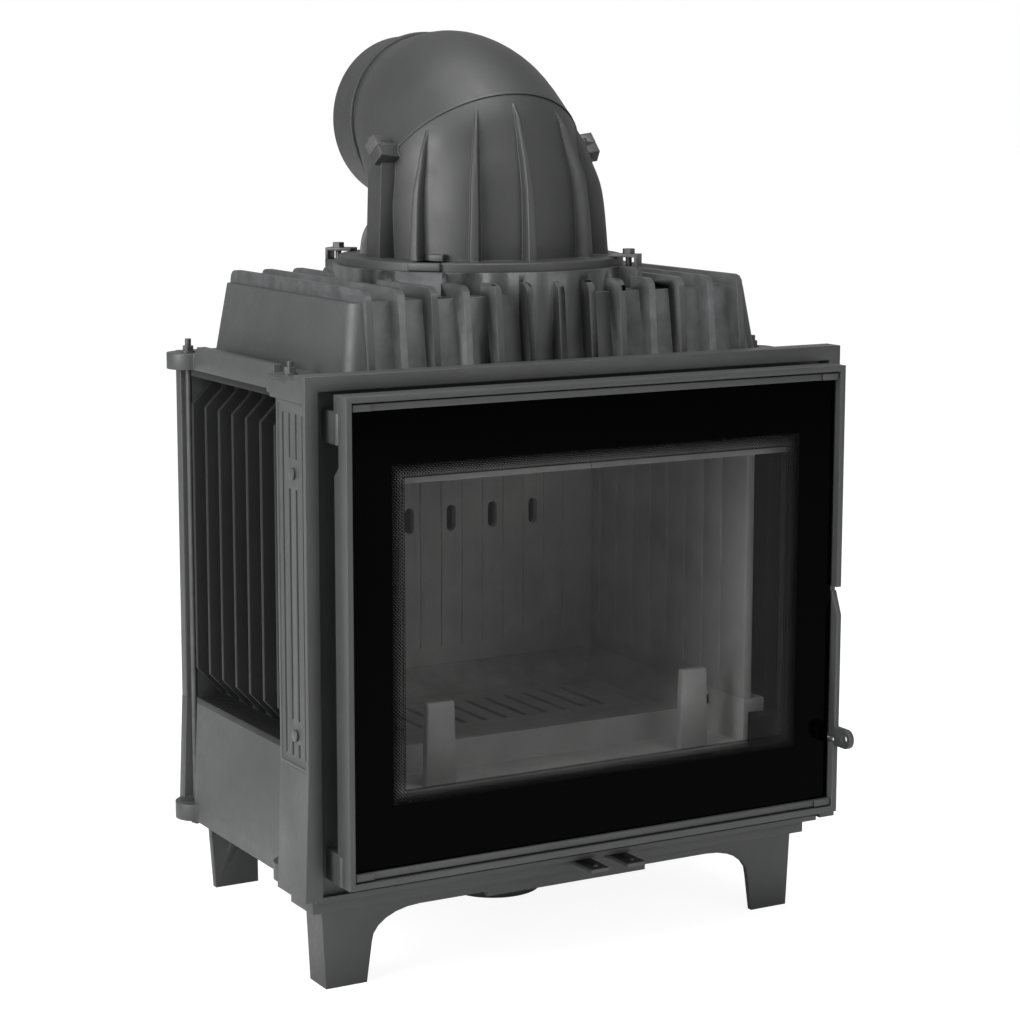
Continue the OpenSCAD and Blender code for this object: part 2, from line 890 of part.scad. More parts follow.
module pilaster_left() {
    color("#6b6d70") at_front() mirror([1, 0, 0]) pilaster();
}

module pilaster_right() {
    color("#6b6d70") at_front() pilaster();
}

module pilaster_screws() {
    color("#5f6164") at_front() both_sides() for (z = [screw_low, screw_high])
        translate([frame_half - cover_t - wall, cover_mid_y, z]) rotate([0, 90, 0]) {
            cylinder(r = screw_r, h = cover_t + wall - pilaster_rim);
            translate([0, 0, cover_t + wall - pilaster_rim]) cylinder(r = screw_head_r, h = screw_head_t);
        }
}

// Side casting with cooling fins
function fin_points() = [[wall_half, base_top + wall / 2],
    [body_half, base_top + wall / 2 + fin_depth + fin_rise],
    [body_half, body_top - wall / 2 - fin_depth], [wall_half, body_top - wall / 2]];

module side_wall() {
    block([wall_half - wall, frame_back, base_top], [wall_half, rear_y, body_top]);
    block([wall_half - wall, frame_back, base_top], [body_half, frame_back + wall, body_top]);
    for (z = [base_top, body_top - wall])
        block([wall_half - wall, notch_y0, z], [body_half, notch_y1, z + wall]);
    for (y = [fin_y0:fin_pitch:notch_y1 - fin_t / 2])
        outline_xz(fin_points(), y - fin_t / 2, y + fin_t / 2);
}

module side_wall_left() {
    color("#2b2c2d") at_front() mirror([1, 0, 0]) side_wall();
}

module side_wall_right() {
    color("#2b2c2d") at_front() side_wall();
}

module rear_wall() {
    color("#3f4144") at_front() {
        block([-body_half, rear_y, base_top], [body_half, rear_y + wall, body_top]);
        rect_ring(body_half, [base_top, body_top], body_half - wall, [base_top + wall, body_top - wall],
            rear_y + wall, base_back);
        for (i = [-rear_ribs:rear_ribs])
            block([i * rear_rib_pitch - fin_t / 2, rear_y + wall, base_top + flange_in],
                [i * rear_rib_pitch + fin_t / 2, rear_back, body_top - flange_in]);
    }
}

// Lining plates with long grooves
module lining_rear() {
    half = lining_half + lining_t;
    color("#666768") at_front() difference() {
        block([-half, lining_y, bed_top], [half, lining_y + lining_t, lining_top]);
        for (i = [0:rear_grooves - 1]) {
            x = (i - (rear_grooves - 1) / 2) * rear_groove_pitch;
            block([x - lining_groove_w / 2, lining_y - over, bed_top + groove_foot],
                [x + lining_groove_w / 2, lining_y + lining_groove_d, lining_top + over]);
        }
        for (i = [0:rear_slots - 1])
            translate([(i - (rear_slots - 1) / 2) * 2 * rear_groove_pitch, 0, 0]) rear_slot();
    }
}

module rear_slot() {
    straight = rear_slot_h - rear_slot_w;
    y1 = lining_y + lining_t + over;
    block([-rear_slot_w / 2, lining_y - over, rear_slot_z - straight / 2],
        [rear_slot_w / 2, y1, rear_slot_z + straight / 2]);
    for (side = [-1, 1])
        rod_along_y(rear_slot_w / 2, 0, lining_y - over, y1, rear_slot_z + side * straight / 2);
}

module lining_side() {
    difference() {
        block([lining_half, bed_y0, bed_top], [lining_half + lining_t, lining_y, lining_top]);
        for (y = [lining_y - side_groove_pitch / 2:-side_groove_pitch:bed_y0 + side_groove_pitch / 2])
            block([lining_half - over, y - lining_groove_w / 2, bed_top + groove_foot],
                [lining_half + lining_groove_d, y + lining_groove_w / 2, lining_top + over]);
    }
}

module lining_left() {
    color("#666768") at_front() mirror([1, 0, 0]) lining_side();
}

module lining_right() {
    color("#666768") at_front() lining_side();
}

// Leaning plate under the head of the opening
module deflector() {
    z1 = seal_z1 - ring_wall / 2;
    z0 = z1 - deflector_drop;
    outline_yz([[deflector_y, z0], [deflector_y + deflector_t, z0],
        [deflector_y + deflector_t + deflector_lean, z1], [deflector_y + deflector_lean, z1]],
        seam_gap / 2, ring_in);
}

module deflector_left() {
    color("#777879") at_front() mirror([1, 0, 0]) deflector();
}

module deflector_right() {
    color("#777879") at_front() deflector();
}

// Baffle plate over the fire, in two halves on the linings
module baffle() {
    block([seam_gap / 2, baffle_y, lining_top],
        [lining_half + lining_t, lining_y + lining_t, lining_top + baffle_t]);
}

module baffle_left() {
    color("#777879") at_front() mirror([1, 0, 0]) baffle();
}

module baffle_right() {
    color("#777879") at_front() baffle();
}

// Top plate with rear ears and the opening under the dome
module top_plate() {
    color("#4d4f52") at_front() difference() {
        union() {
            block([-body_half, frame_back, body_top], [body_half, base_back, top_z]);
            both_sides() {
                translate([rod_x, rod_rear_y, body_top]) cylinder(r = ear_r, h = top_plate_t);
                block([body_half - border_in, border_y0, body_top], [body_half, border_y1, top_z + border_h]);
            }
        }
        block([-body_half + wall, frame_back + wall, body_top - over],
            [body_half - wall, base_back - wall, top_z - plate_t]);
        block([-flue_hole_half, flue_hole_y0, body_top], [flue_hole_half, flue_hole_y1, top_z + over]);
        both_sides() {
            block([body_half - ear_cut_in, frame_back - over, body_top - over],
                [body_half + over, ear_cut_y, top_z + over]);
            translate([rod_x, rod_rear_y, body_top - over])
                cylinder(r = rod_hole_r, h = top_plate_t + 2 * over);
        }
    }
}

// Ribbed dome with the ring on which the hood turns
module rounded_slab(half, y0, y1, z, r) {
    for (side = [-1, 1], y = [y0 + r, y1 - r])
        translate([side * (half - r), y, z]) cylinder(r = r, h = disc_t, $fn = 32);
}

module dome_body(side, ends, z_low, z_high) {
    hull() {
        rounded_slab(dome_half - side, dome_y0 + ends, dome_y1 - ends, z_low, dome_corner - side);
        rounded_slab(dome_top_half - side, dome_y0 + dome_lean + ends, dome_y1 - dome_lean - ends,
            z_high - disc_t, dome_corner - side);
    }
}

// Recess between two ribs, on the front of the dome
module dome_pocket(i) {
    x = (i - (rib_count - 2) / 2) * rib_pitch;
    outline_yz([[dome_y0 - over, top_z - over], [dome_y0 + pocket_d, top_z - over],
        [dome_y0 + pocket_d + pocket_lean, dome_roof + over], [dome_y0 - over, dome_roof + over]],
        x - (rib_pitch - rib_t) / 2, x + (rib_pitch - rib_t) / 2);
}

function rib_arc(y, from) = [for (a = [from:30:from + 90])
    [y + rib_round * cos(a), rib_top - rib_round + rib_round * sin(a)]];
function rib_points() = concat([[dome_y0 - rib_proud, top_z], [dome_y1 + rib_proud, top_z]],
    rib_arc(dome_y1 + rib_proud - rib_lean - rib_round, 0),
    rib_arc(dome_y0 - rib_proud + rib_lean + rib_round, 90));

module dome() {
    color("#4f5154") at_front() difference() {
        union() {
            difference() {
                dome_body(0, 0, top_z, dome_roof);
                for (i = [0:rib_count - 2]) {
                    dome_pocket(i);
                    translate([0, dome_y0 + dome_y1, 0]) mirror([0, 1, 0]) dome_pocket(i);
                }
            }
            for (i = [0:rib_count - 1])
                translate([(i - (rib_count - 1) / 2) * rib_pitch, 0, 0])
                    outline_yz(rib_points(), -rib_t / 2, rib_t / 2);
            translate([0, flue_y, top_z]) cylinder(r = ring_r, h = ring_z - top_z);
            for (a = clamp_angles) at_angle(a)
                translate([ring_r - ring_foot, -clamp_w / 2, dome_roof])
                    cube([clamp_out + ring_foot, clamp_w, ring_z - dome_roof]);
            at_angle(index_angle) translate([ring_r - ring_foot, -ring_index_w / 2, dome_roof])
                cube([ring_foot + index_t, ring_index_w, ring_z - dome_roof - gap]);
        }
        dome_body(wall, pocket_d + wall, top_z - over, dome_roof - wall);
        translate([0, flue_y, top_z - over]) cylinder(r = hood_r - wall, h = ring_z);
        for (a = clamp_angles) at_angle(a)
            translate([ring_r + clamp_bolt_in, 0, ring_z - clamp_foot])
                cylinder(r = clamp_bolt_r, h = clamp_foot + over);
    }
}

module at_angle(a) {
    translate([0, flue_y, 0]) rotate([0, 0, a]) children();
}

// Claws that hold the hood's flange down on the ring
module collar_clamps() {
    claw_z = hood_z + gap;
    color("#333436") at_front() for (a = clamp_angles) at_angle(a) {
        translate([ring_r + clamp_out - clamp_t, -clamp_w / 2, ring_z])
            cube([clamp_t, clamp_w, claw_z + clamp_t - ring_z]);
        difference() {
            translate([ring_r - clamp_in, -clamp_w / 2, claw_z])
                cube([clamp_in + clamp_out - clamp_t, clamp_w, clamp_t]);
            translate([ring_r + clamp_bolt_in, 0, ring_z]) cylinder(r = clamp_bolt_r, h = hood_z);
        }
    }
}

module collar_bolts() {
    bolt_top = hood_z + gap + clamp_t;
    color("#2a2b2c") at_front() for (a = clamp_angles) at_angle(a)
        translate([ring_r + clamp_bolt_in, 0, 0]) {
            translate([0, 0, ring_z - clamp_foot])
                cylinder(r = clamp_bolt_r, h = bolt_top - ring_z + clamp_foot);
            translate([0, 0, bolt_top]) cylinder(r = nut_r, h = nut_t, $fn = 6);
        }
}

// Stations of the flue bend: share of the tilt, of the run back, of the rise and of the added girth
hood_shares = [[0, 0, 0, 0], [0.43, 0.15, 0.46, 0.02], [0.64, 0.5, 0.68, 0.013],
    [0.83, 0.65, 0.86, 0.012], [1, 1, 1, 0]];
elbow_shares = [[0, 0, 0, 0], [0.33, 0.33, 0.58, 0.13], [0.67, 0.67, 0.9, 0.46], [1, 1, 1, 1]];

module disc(tilt, y, z, r, sink) {
    translate([0, y, z]) rotate([-tilt, 0, 0]) translate([0, 0, -sink]) cylinder(r = r, h = disc_t, $fn = 48);
}

module hood_body(extra, foot) {
    hull() for (i = [0:len(hood_shares) - 1]) {
        s = hood_shares[i];
        disc(seam_tilt * s[0], flue_y + seam_back * s[1], hood_z + seam_rise * s[2],
            hood_r * (1 + s[3]) + (seam_r - hood_r) * s[2] + extra, i == 0 ? foot : 0);
    }
}

module below_seam(depth) {
    intersection() {
        children();
        at_seam() translate([-ring_r, -2 * ring_r, -depth - 2 * ring_r])
            cube([2 * ring_r, 4 * ring_r, 2 * ring_r]);
    }
}

module hood_shell() {
    below_seam(gap / 2) hood_body(0, over);
    below_seam(gap / 2) intersection() {
        hood_body(hood_rib_proud, over);
        for (a = hood_rib_angles) at_angle(a - 90)
            translate([0, -hood_rib_t / 2, hood_z - over]) cube([ring_r, hood_rib_t, 2 * seam_rise]);
    }
    below_seam(gap / 2) translate([0, flue_y + pilaster_w / 2, 0]) rotate([90, 0, 0])
        linear_extrude(pilaster_w) polygon([[-pilaster_foot_r, hood_z - over],
            [pilaster_foot_r, hood_z - over], [pilaster_head_r, hood_z + 2 * seam_rise],
            [-pilaster_head_r, hood_z + 2 * seam_rise]]);
    translate([0, flue_y, ring_z + gap]) cylinder(r = ring_r - hood_flange_inset, h = hood_flange_t);
    at_seam() translate([0, 0, -gap / 2 - seam_lip_h]) cylinder(r = seam_r + seam_lip, h = seam_lip_h);
    at_angle(index_angle) {
        translate([hood_r, -hood_index_w / 2, ring_z + gap])
            cube([ring_r - index_back - hood_r, hood_index_w, hood_flange_t]);
        translate([hood_r - wall / 2, -tab_w / 2, hood_z - over])
            cube([tab_reach + wall / 2, tab_w, tab_h + over]);
    }
    at_clips() translate([seam_r - wall, -clip_w / 2, -clip_ear])
        cube([clip_out + wall, clip_w, clip_ear - gap / 2]);
}

module hood() {
    color("#505255") at_front() difference() {
        hood_shell();
        below_seam(wall) hood_body(-wall, hood_flange_t + over);
        at_seam() translate([0, 0, -wall - over])
            cylinder(r = seam_r - wall - seam_seat, h = wall + 2 * over);
        at_clips() translate([seam_r + clip_bolt_out, 0, -clip_ear + over])
            cylinder(r = clip_bolt_r, h = clip_ear);
    }
}

module at_seam() {
    translate([0, seam_y, seam_z]) rotate([-seam_tilt, 0, 0]) children();
}

module at_clips() {
    both_sides() at_seam() rotate([0, 0, -clip_lift]) children();
}

module elbow_body(extra, tip_extra, sink) {
    hull() for (i = [0:3]) {
        s = elbow_shares[i];
        disc(seam_tilt * (1 + s[0]), seam_y + elbow_run * s[1], seam_z + (spigot_z - seam_z) * s[2],
            seam_r + (spigot_r - seam_r) * s[3] + (i == 3 ? tip_extra : extra), i == 0 ? sink : 0);
    }
}

module elbow() {
    color("#57595c") at_front() difference() {
        union() {
            elbow_body(0, 0, -gap / 2);
            rod_along_y(spigot_r, 0, spigot_y, spigot_y + spigot_len, spigot_z);
            rod_along_y(spigot_r + bead_rise, 0, spigot_y, spigot_y + bead_w, spigot_z);
            at_clips() translate([seam_r - wall, -clip_w / 2, gap / 2])
                cube([clip_ear + wall, clip_w, clip_t]);
            at_seam() translate([0, 0, gap / 2]) cylinder(r = seam_r + seam_lip, h = seam_lip_h);
        }
        elbow_body(-wall, -wall - disc_t, over);
        rod_along_y(spigot_bore_r, 0, spigot_y - disc_t, spigot_y + spigot_len + over, spigot_z);
    }
}

// Clips that hold the elbow's ears on the hood
module elbow_clips() {
    claw_z = gap / 2 + clip_t + gap;
    color("#333436") at_front() at_clips() difference() {
        union() {
            translate([seam_r + clip_ear + gap, -clip_w / 2, -gap / 2])
                cube([clip_out - clip_ear - gap, clip_w, claw_z + gap / 2 + clip_t]);
            translate([seam_r + clip_ear - clip_grip, -clip_w / 2, claw_z])
                cube([clip_out - clip_ear + clip_grip, clip_w, clip_t]);
        }
        translate([seam_r + clip_bolt_out, 0, -over])
            cylinder(r = clip_bolt_r, h = claw_z + clip_t + 2 * over);
    }
}

module elbow_clip_bolts() {
    claw_top = gap / 2 + clip_t + gap + clip_t;
    color("#2a2b2c") at_front() at_clips() translate([seam_r + clip_bolt_out, 0, 0]) {
        translate([0, 0, -clip_ear + over]) cylinder(r = clip_bolt_r, h = claw_top + clip_ear - over);
        translate([0, 0, claw_top]) cylinder(r = 2 * clip_bolt_r, h = clip_bolt_head, $fn = 6);
    }
}

// Rods, nuts and washers that clamp the castings together
module tie_rods() {
    color("#3a3b3c") at_front() at_rods() translate([0, 0, stand_h - rod_low])
        cylinder(r = rod_r, h = top_z + rod_high - stand_h + rod_low);
}

function rod_seat(y) = y == rod_front_y ? frame_ear_z + ear_t : top_z;

module rod_ring(r, t, z, sides) {
    for (side = [-1, 1], y = [rod_front_y, rod_rear_y])
        translate([side * rod_x, y, 0]) for (z0 = [rod_seat(y) + z, stand_h - z - t])
            translate([0, 0, z0]) difference() {
                cylinder(r = r, h = t, $fn = sides);
                translate([0, 0, -over]) cylinder(r = rod_r, h = t + 2 * over);
            }
}

module tie_washers() {
    color("#454648") at_front() rod_ring(washer_r, washer_t, 0, 48);
}

module tie_nuts() {
    color("#2f3031") at_front() rod_ring(rod_nut_r, nut_t, washer_t, 6);
}

// Door casting with its rail, web, rope groove, knuckles and shaft boss
module door_frame() {
    color("#54565a") at_front() difference() {
        union() {
            difference() {
                block([-door_half, 0, door_z], [door_half, door_depth, door_top]);
                block([-pocket_half, -over, door_z + rail_w], [pocket_half, web_y, door_top - rail_w]);
                block([-pocket_half, web_back, door_z + rail_w],
                    [pocket_half, door_depth + over, door_top - rail_w]);
                hinge_notch(upper_lug_z);
                hinge_notch(lower_lug_z);
                block([pocket_half, -over, shaft_z - cut_low], [door_half + over, door_depth + over,
                    shaft_z + bar_len + cut_high]);
            }
            for (side = [-1, 1])
                rect_ring(rope_mid + side_out(side), [rope_z0 - side_out(side), rope_z1 + side_out(side)],
                    rope_mid + side_out(side) - rib_w,
                    [rope_z0 - side_out(side) + rib_w, rope_z1 + side_out(side) - rib_w],
                    web_back, door_depth);
            for (z = [upper_lug_z, lower_lug_z]) translate([hinge_x, hinge_y, z + lug_h + gap]) {
                cylinder(r = knuckle_r, h = knuckle_h);
                translate([0, web_y - hinge_y, 0]) cube([2 * knuckle_r, web_t, knuckle_h]);
            }
            rod_along_y(boss_r, shaft_x, web_y, web_y + boss_len, shaft_z);
        }
        block([-window_half, -over, window_z0], [window_half, door_depth + over, window_z1]);
        for (z = [upper_lug_z, lower_lug_z])
            translate([hinge_x, hinge_y, z + lug_h + gap - over])
                cylinder(r = pin_r + pin_fit, h = knuckle_h + 2 * over);
        rod_along_y(shaft_r + pin_fit, shaft_x, web_y - over, web_y + boss_len + over, shaft_z);
    }
}

function side_out(side) = side > 0 ? rope_w / 2 + rib_w : -rope_w / 2;

module hinge_notch(z) {
    z0 = z - lift_off;
    outline_yz([[notch_y, z + lug_h + gap], [notch_y, z0], [door_depth + over, z0 - notch_slope],
        [hinge_y + 2 * knuckle_r, z0 - notch_slope], [hinge_y + 2 * knuckle_r, z + lug_h + gap]],
        -door_half - over, hinge_x + knuckle_r + notch_side);
}

module door_glass() {
    color([0.1, 0.1, 0.11, 0.55]) at_front()
        block([-glass_half, glass_y, glass_z0], [glass_half, glass_y + glass_t, glass_z1]);
}

module glass_gasket() {
    color("#2a2a2a") at_front() rect_ring(glass_half, [glass_z0, glass_z1], window_half + gasket_in,
        [window_z0 - gasket_in, window_z1 + gasket_in], glass_y + glass_t, web_y);
}

// Bars and corner clips that hold the glass in the door
module glass_bar(z) {
    block([-glass_half, bar_front, z], [glass_half, glass_y, z + bar_h]);
}

module glass_bar_top() {
    color("#5b5d60") at_front() glass_bar(glass_z1 - bar_h);
}

module glass_bar_bottom() {
    color("#5b5d60") at_front() glass_bar(glass_z0);
}

module glass_bar_clips() {
    color("#606265") at_front() both_sides() for (z = [glass_z0, glass_z1 - bar_h])
        block([glass_half - clip_len, bar_front - clip_proud, z], [glass_half, bar_front, z + bar_h]);
}

module door_rope() {
    color("#3a3937") at_front() rect_ring(rope_mid + rope_w / 2, [rope_z0 - rope_w / 2, rope_z1 + rope_w / 2],
        rope_mid - rope_w / 2, [rope_z0 + rope_w / 2, rope_z1 - rope_w / 2], web_back, rope_back);
}

// Handle bar with its eye, drawn from the side
function bar_points() = concat(
    [[bar_y0, shaft_z - bar_foot], [bar_y0 + bar_depth, shaft_z - bar_foot],
        [bar_y0 + bar_depth, shaft_z + bar_len * bar_back_share]],
    [for (a = [0:20:100]) [bar_y0 + bar_depth / 2 + bar_sweep + bar_depth / 2 * cos(a),
        shaft_z + bar_len - bar_depth / 2 + bar_depth / 2 * sin(a)]],
    [[bar_y0, shaft_z + bar_len * bar_front_share]]);

module handle_lever() {
    color("#4f5154") at_front() difference() {
        union() {
            outline_yz(bar_points(), shaft_x - bar_t / 2, shaft_x + bar_t / 2);
            translate([shaft_x - bar_t / 2, eye_r - eye_reach, shaft_z]) rotate([0, 90, 0])
                cylinder(r = eye_r, h = bar_t);
            block([shaft_x - bar_t / 2, eye_r - eye_reach, shaft_z - eye_r],
                [shaft_x + bar_t / 2, -gap, shaft_z + eye_r]);
        }
        translate([shaft_x - bar_t / 2 - over, eye_r - eye_reach, shaft_z]) rotate([0, 90, 0])
            cylinder(r = eye_hole_r, h = bar_t + 2 * over);
    }
}

module handle_shaft() {
    color("#6a6b6c") at_front()
        rod_along_y(shaft_r, shaft_x, bar_y0 + bar_depth, web_y + boss_len + gap + cam_t + nut_h, shaft_z);
}

module latch_cam() {
    y0 = web_y + boss_len + gap;
    color("#3b3c3e") at_front() difference() {
        union() {
            rod_along_y(boss_r, shaft_x, y0, y0 + cam_t, shaft_z);
            block([shaft_x - cam_reach, y0, shaft_z - shaft_r], [shaft_x, y0 + cam_t, shaft_z + shaft_r]);
        }
        rod_along_y(shaft_r, shaft_x, y0 - over, y0 + cam_t + over, shaft_z);
    }
}

module cam_nut() {
    y0 = web_y + boss_len + gap + cam_t;
    color("#2e2f30") at_front() translate([shaft_x, y0 + nut_h, shaft_z]) rotate([90, 0, 0]) difference() {
        cylinder(r = nut_r, h = nut_h, $fn = 6);
        translate([0, 0, -over]) cylinder(r = shaft_r, h = nut_h + 2 * over);
    }
}

front_stand();
rear_stand();
stand_bolts();
base_box();
inlet_spigot();
air_guide();
primary_air_lever();
secondary_air_lever();
hearth_bed();
grate();
ash_pan();
log_guard_left();
log_guard_right();
front_frame();
latch_keeper();
keeper_screws();
hinge_pins();
pilaster_left();
pilaster_right();
pilaster_screws();
side_wall_left();
side_wall_right();
rear_wall();
lining_rear();
lining_left();
lining_right();
deflector_left();
deflector_right();
baffle_left();
baffle_right();
top_plate();
dome();
collar_clamps();
collar_bolts();
hood();
elbow();
elbow_clips();
elbow_clip_bolts();
tie_rods();
tie_nuts();
tie_washers();
door_frame();
door_glass();
glass_gasket();
glass_bar_top();
glass_bar_bottom();
glass_bar_clips();
door_rope();
handle_lever();
handle_shaft();
latch_cam();
cam_nut();
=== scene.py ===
"""Visual model of a cast fireplace insert, dressed round its CAD frame."""

import logging
import math
from dataclasses import dataclass, field
from enum import Enum
from typing import Sequence

import bmesh
import bpy
from mathutils import Matrix, Quaternion, Vector


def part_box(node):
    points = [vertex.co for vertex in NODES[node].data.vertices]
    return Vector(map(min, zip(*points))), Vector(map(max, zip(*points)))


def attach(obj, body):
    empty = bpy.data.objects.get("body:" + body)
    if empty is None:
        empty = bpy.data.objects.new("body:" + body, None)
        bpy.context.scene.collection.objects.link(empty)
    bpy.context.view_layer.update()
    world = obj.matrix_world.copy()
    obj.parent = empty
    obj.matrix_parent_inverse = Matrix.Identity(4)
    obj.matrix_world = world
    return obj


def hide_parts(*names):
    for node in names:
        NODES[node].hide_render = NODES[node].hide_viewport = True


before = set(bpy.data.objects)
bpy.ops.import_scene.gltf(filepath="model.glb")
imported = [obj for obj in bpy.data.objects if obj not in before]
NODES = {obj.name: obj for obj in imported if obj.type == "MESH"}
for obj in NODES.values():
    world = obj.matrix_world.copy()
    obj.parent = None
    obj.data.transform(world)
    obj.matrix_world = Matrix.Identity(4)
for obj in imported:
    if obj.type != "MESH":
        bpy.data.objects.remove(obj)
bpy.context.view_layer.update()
ORIGIN_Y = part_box("door_frame")[0].y
MM_PER_M = 1000.0
ROUND = 96
SEAM_PLAY = 0.00015
log = logging.getLogger("insert")

Point = tuple[float, float, float]


def at(x: float, y: float, z: float) -> Vector:
    """Turns millimetres from the door's face into the shared frame.

    Args:
        x: distance to the right of the middle.
        y: depth behind the door's face.
        z: height above the floor.

    Returns:
        The point in metres.
    """
    return Vector((x / MM_PER_M, y / MM_PER_M + ORIGIN_Y, z / MM_PER_M))


def smooth_path(stations: Sequence[Sequence[float]], steps: int) -> list[list[float]]:
    """Runs a smooth curve through rows of numbers.

    Args:
        stations: rows of equal length.
        steps: rows made between two neighbours.

    Returns:
        The rows of the curve, both ends included.
    """
    rows: list[list[float]] = []
    last = len(stations) - 1
    for i in range(last):
        p0, p1 = stations[max(i - 1, 0)], stations[i]
        p2, p3 = stations[i + 1], stations[min(i + 2, last)]
        for k in range(steps):
            t = k / steps
            rows.append([
                0.5 * (2 * b + (c - a) * t + (2 * a - 5 * b + 4 * c - d) * t * t
                       + (3 * b - a - 3 * c + d) * t ** 3)
                for a, b, c, d in zip(p0, p1, p2, p3)])
    rows.append(list(stations[last]))
    return rows


class Ends(Enum):
    """How the two ends of a lofted skin are closed."""

    CAPPED = "capped"
    JOINED = "joined"


class Bench:
    """Modelling steps on the work bench, made with Blender's own operators."""

    STEP = 0.001
    EDGE_SEGMENTS = 2
    BLOCK_SEGMENTS = 3
    WELD = 0.00002
    FLAT = math.radians(0.6)
    ROUNDED = math.radians(35)
    SMOOTHED = math.radians(40)

    @staticmethod
    def clear() -> None:
        """Deselects everything and leaves edit mode."""
        if bpy.context.object and bpy.context.object.mode != "OBJECT":
            bpy.ops.object.mode_set(mode="OBJECT")
        bpy.ops.object.select_all(action="DESELECT")

    @staticmethod
    def pick(obj: bpy.types.Object) -> None:
        """Selects one object and makes it the active one."""
        Bench.clear()
        obj.select_set(True)
        bpy.context.view_layer.objects.active = obj

    @staticmethod
    def skin(name: str, sections: Sequence[Sequence[Vector]], ends: Ends = Ends.CAPPED) -> bpy.types.Object:
        """Extrudes a loop of points from section to section.

        Args:
            name: name of the new piece.
            sections: loops with equal numbers of points.
            ends: how the first and last loop are closed.

        Returns:
            The new piece.
        """
        Bench.clear()
        capped = ends is Ends.CAPPED
        count = len(sections[0])
        fill = "NGON" if capped else "NOTHING"
        bpy.ops.mesh.primitive_circle_add(vertices=count, radius=1.0, fill_type=fill)
        obj = bpy.context.object
        obj.name = obj.data.name = name
        bpy.ops.object.mode_set(mode="EDIT")
        bpy.ops.mesh.select_mode(type="VERT")
        bpy.ops.mesh.select_all(action="SELECT")
        Bench._place(obj, 0, sections[0])
        extrude = bpy.ops.mesh.extrude_region_move if capped else bpy.ops.mesh.extrude_edges_move
        for index, loop in enumerate(sections[1:], start=1):
            extrude(TRANSFORM_OT_translate={"value": (0, 0, Bench.STEP)})
            Bench._place(obj, index * count, loop)
        if not capped:
            Bench._bridge(obj, count)
        bpy.ops.mesh.select_all(action="SELECT")
        bpy.ops.mesh.normals_make_consistent(inside=False)
        bpy.ops.object.mode_set(mode="OBJECT")
        return obj

    @staticmethod
    def _bridge(obj: bpy.types.Object, count: int) -> None:
        """Joins the first loop of a skin to its last one."""
        mesh = bmesh.from_edit_mesh(obj.data)
        mesh.verts.ensure_lookup_table()
        last = len(mesh.verts) - count
        bpy.ops.mesh.select_all(action="DESELECT")
        for vert in mesh.verts:
            vert.select = vert.index < count or vert.index >= last
        mesh.select_flush_mode()
        for edge in mesh.edges:
            ring = [vert.index for vert in edge.verts]
            edge.select = all(i < count for i in ring) or all(i >= last for i in ring)
        bmesh.update_edit_mesh(obj.data)
        bpy.ops.mesh.bridge_edge_loops()

    @staticmethod
    def _place(obj: bpy.types.Object, start: int, loop: Sequence[Vector]) -> None:
        """Puts the newest loop of vertices on its points."""
        mesh = bmesh.from_edit_mesh(obj.data)
        mesh.verts.ensure_lookup_table()
        for offset, point in enumerate(loop):
            mesh.verts[start + offset].co = point
        bmesh.update_edit_mesh(obj.data)

    @staticmethod
    def block(name: str, low: Vector, high: Vector, bevel: float) -> bpy.types.Object:
        """Makes a block with rounded edges.

        Args:
            name: name of the new piece.
            low: lowest corner.
            high: highest corner.
            bevel: radius of its edges.

        Returns:
            The new piece.
        """
        Bench.clear()
        bpy.ops.mesh.primitive_cube_add(size=1.0)
        obj = bpy.context.object
        obj.name = obj.data.name = name
        bpy.ops.object.mode_set(mode="EDIT")
        bpy.ops.mesh.select_all(action="SELECT")
        bpy.ops.transform.resize(value=tuple(high - low))
        bpy.ops.transform.translate(value=tuple((low + high) / 2))
        bpy.ops.mesh.bevel(offset=bevel, segments=Bench.BLOCK_SEGMENTS, affect="EDGES")
        bpy.ops.object.mode_set(mode="OBJECT")
        return obj

    @staticmethod
    def cut_above(obj: bpy.types.Object, point: Vector, normal: Vector) -> None:
        """Cuts off and closes what lies beyond a plane."""
        Bench.pick(obj)
        bpy.ops.object.mode_set(mode="EDIT")
        bpy.ops.mesh.select_all(action="SELECT")
        bpy.ops.mesh.bisect(plane_co=tuple(point), plane_no=tuple(normal), use_fill=True, clear_outer=True)
        bpy.ops.mesh.select_all(action="SELECT")
        bpy.ops.mesh.normals_make_consistent(inside=False)
        bpy.ops.object.mode_set(mode="OBJECT")

    @staticmethod
    def subtract(obj: bpy.types.Object, tool: bpy.types.Object) -> None:
        """Takes one piece out of another and removes the tool."""
        Bench.pick(obj)
        modifier = obj.modifiers.new("Cut", "BOOLEAN")
        modifier.operation, modifier.object, modifier.solver = "DIFFERENCE", tool, "EXACT"
        bpy.ops.object.modifier_apply(modifier=modifier.name)
        bpy.data.objects.remove(tool, do_unlink=True)

    @staticmethod
    def smooth(obj: bpy.types.Object, angle: float) -> None:
        """Shades a piece smooth, but for edges sharper than an angle."""
        Bench.pick(obj)
        bpy.ops.object.shade_smooth_by_angle(angle=angle)

    @staticmethod
    def bevel(obj: bpy.types.Object, width: float) -> None:
        """Rounds the sharp edges of a piece and smooths the rest.

        Args:
            obj: the piece.
            width: width of the bevel in metres.
        """
        Bench.pick(obj)
        modifier = obj.modifiers.new("Edges", "BEVEL")
        modifier.width, modifier.segments = width, Bench.EDGE_SEGMENTS
        modifier.limit_method, modifier.angle_limit = "ANGLE", Bench.ROUNDED
        modifier.harden_normals = False
        bpy.ops.object.modifier_apply(modifier=modifier.name)
        Bench.smooth(obj, Bench.SMOOTHED)

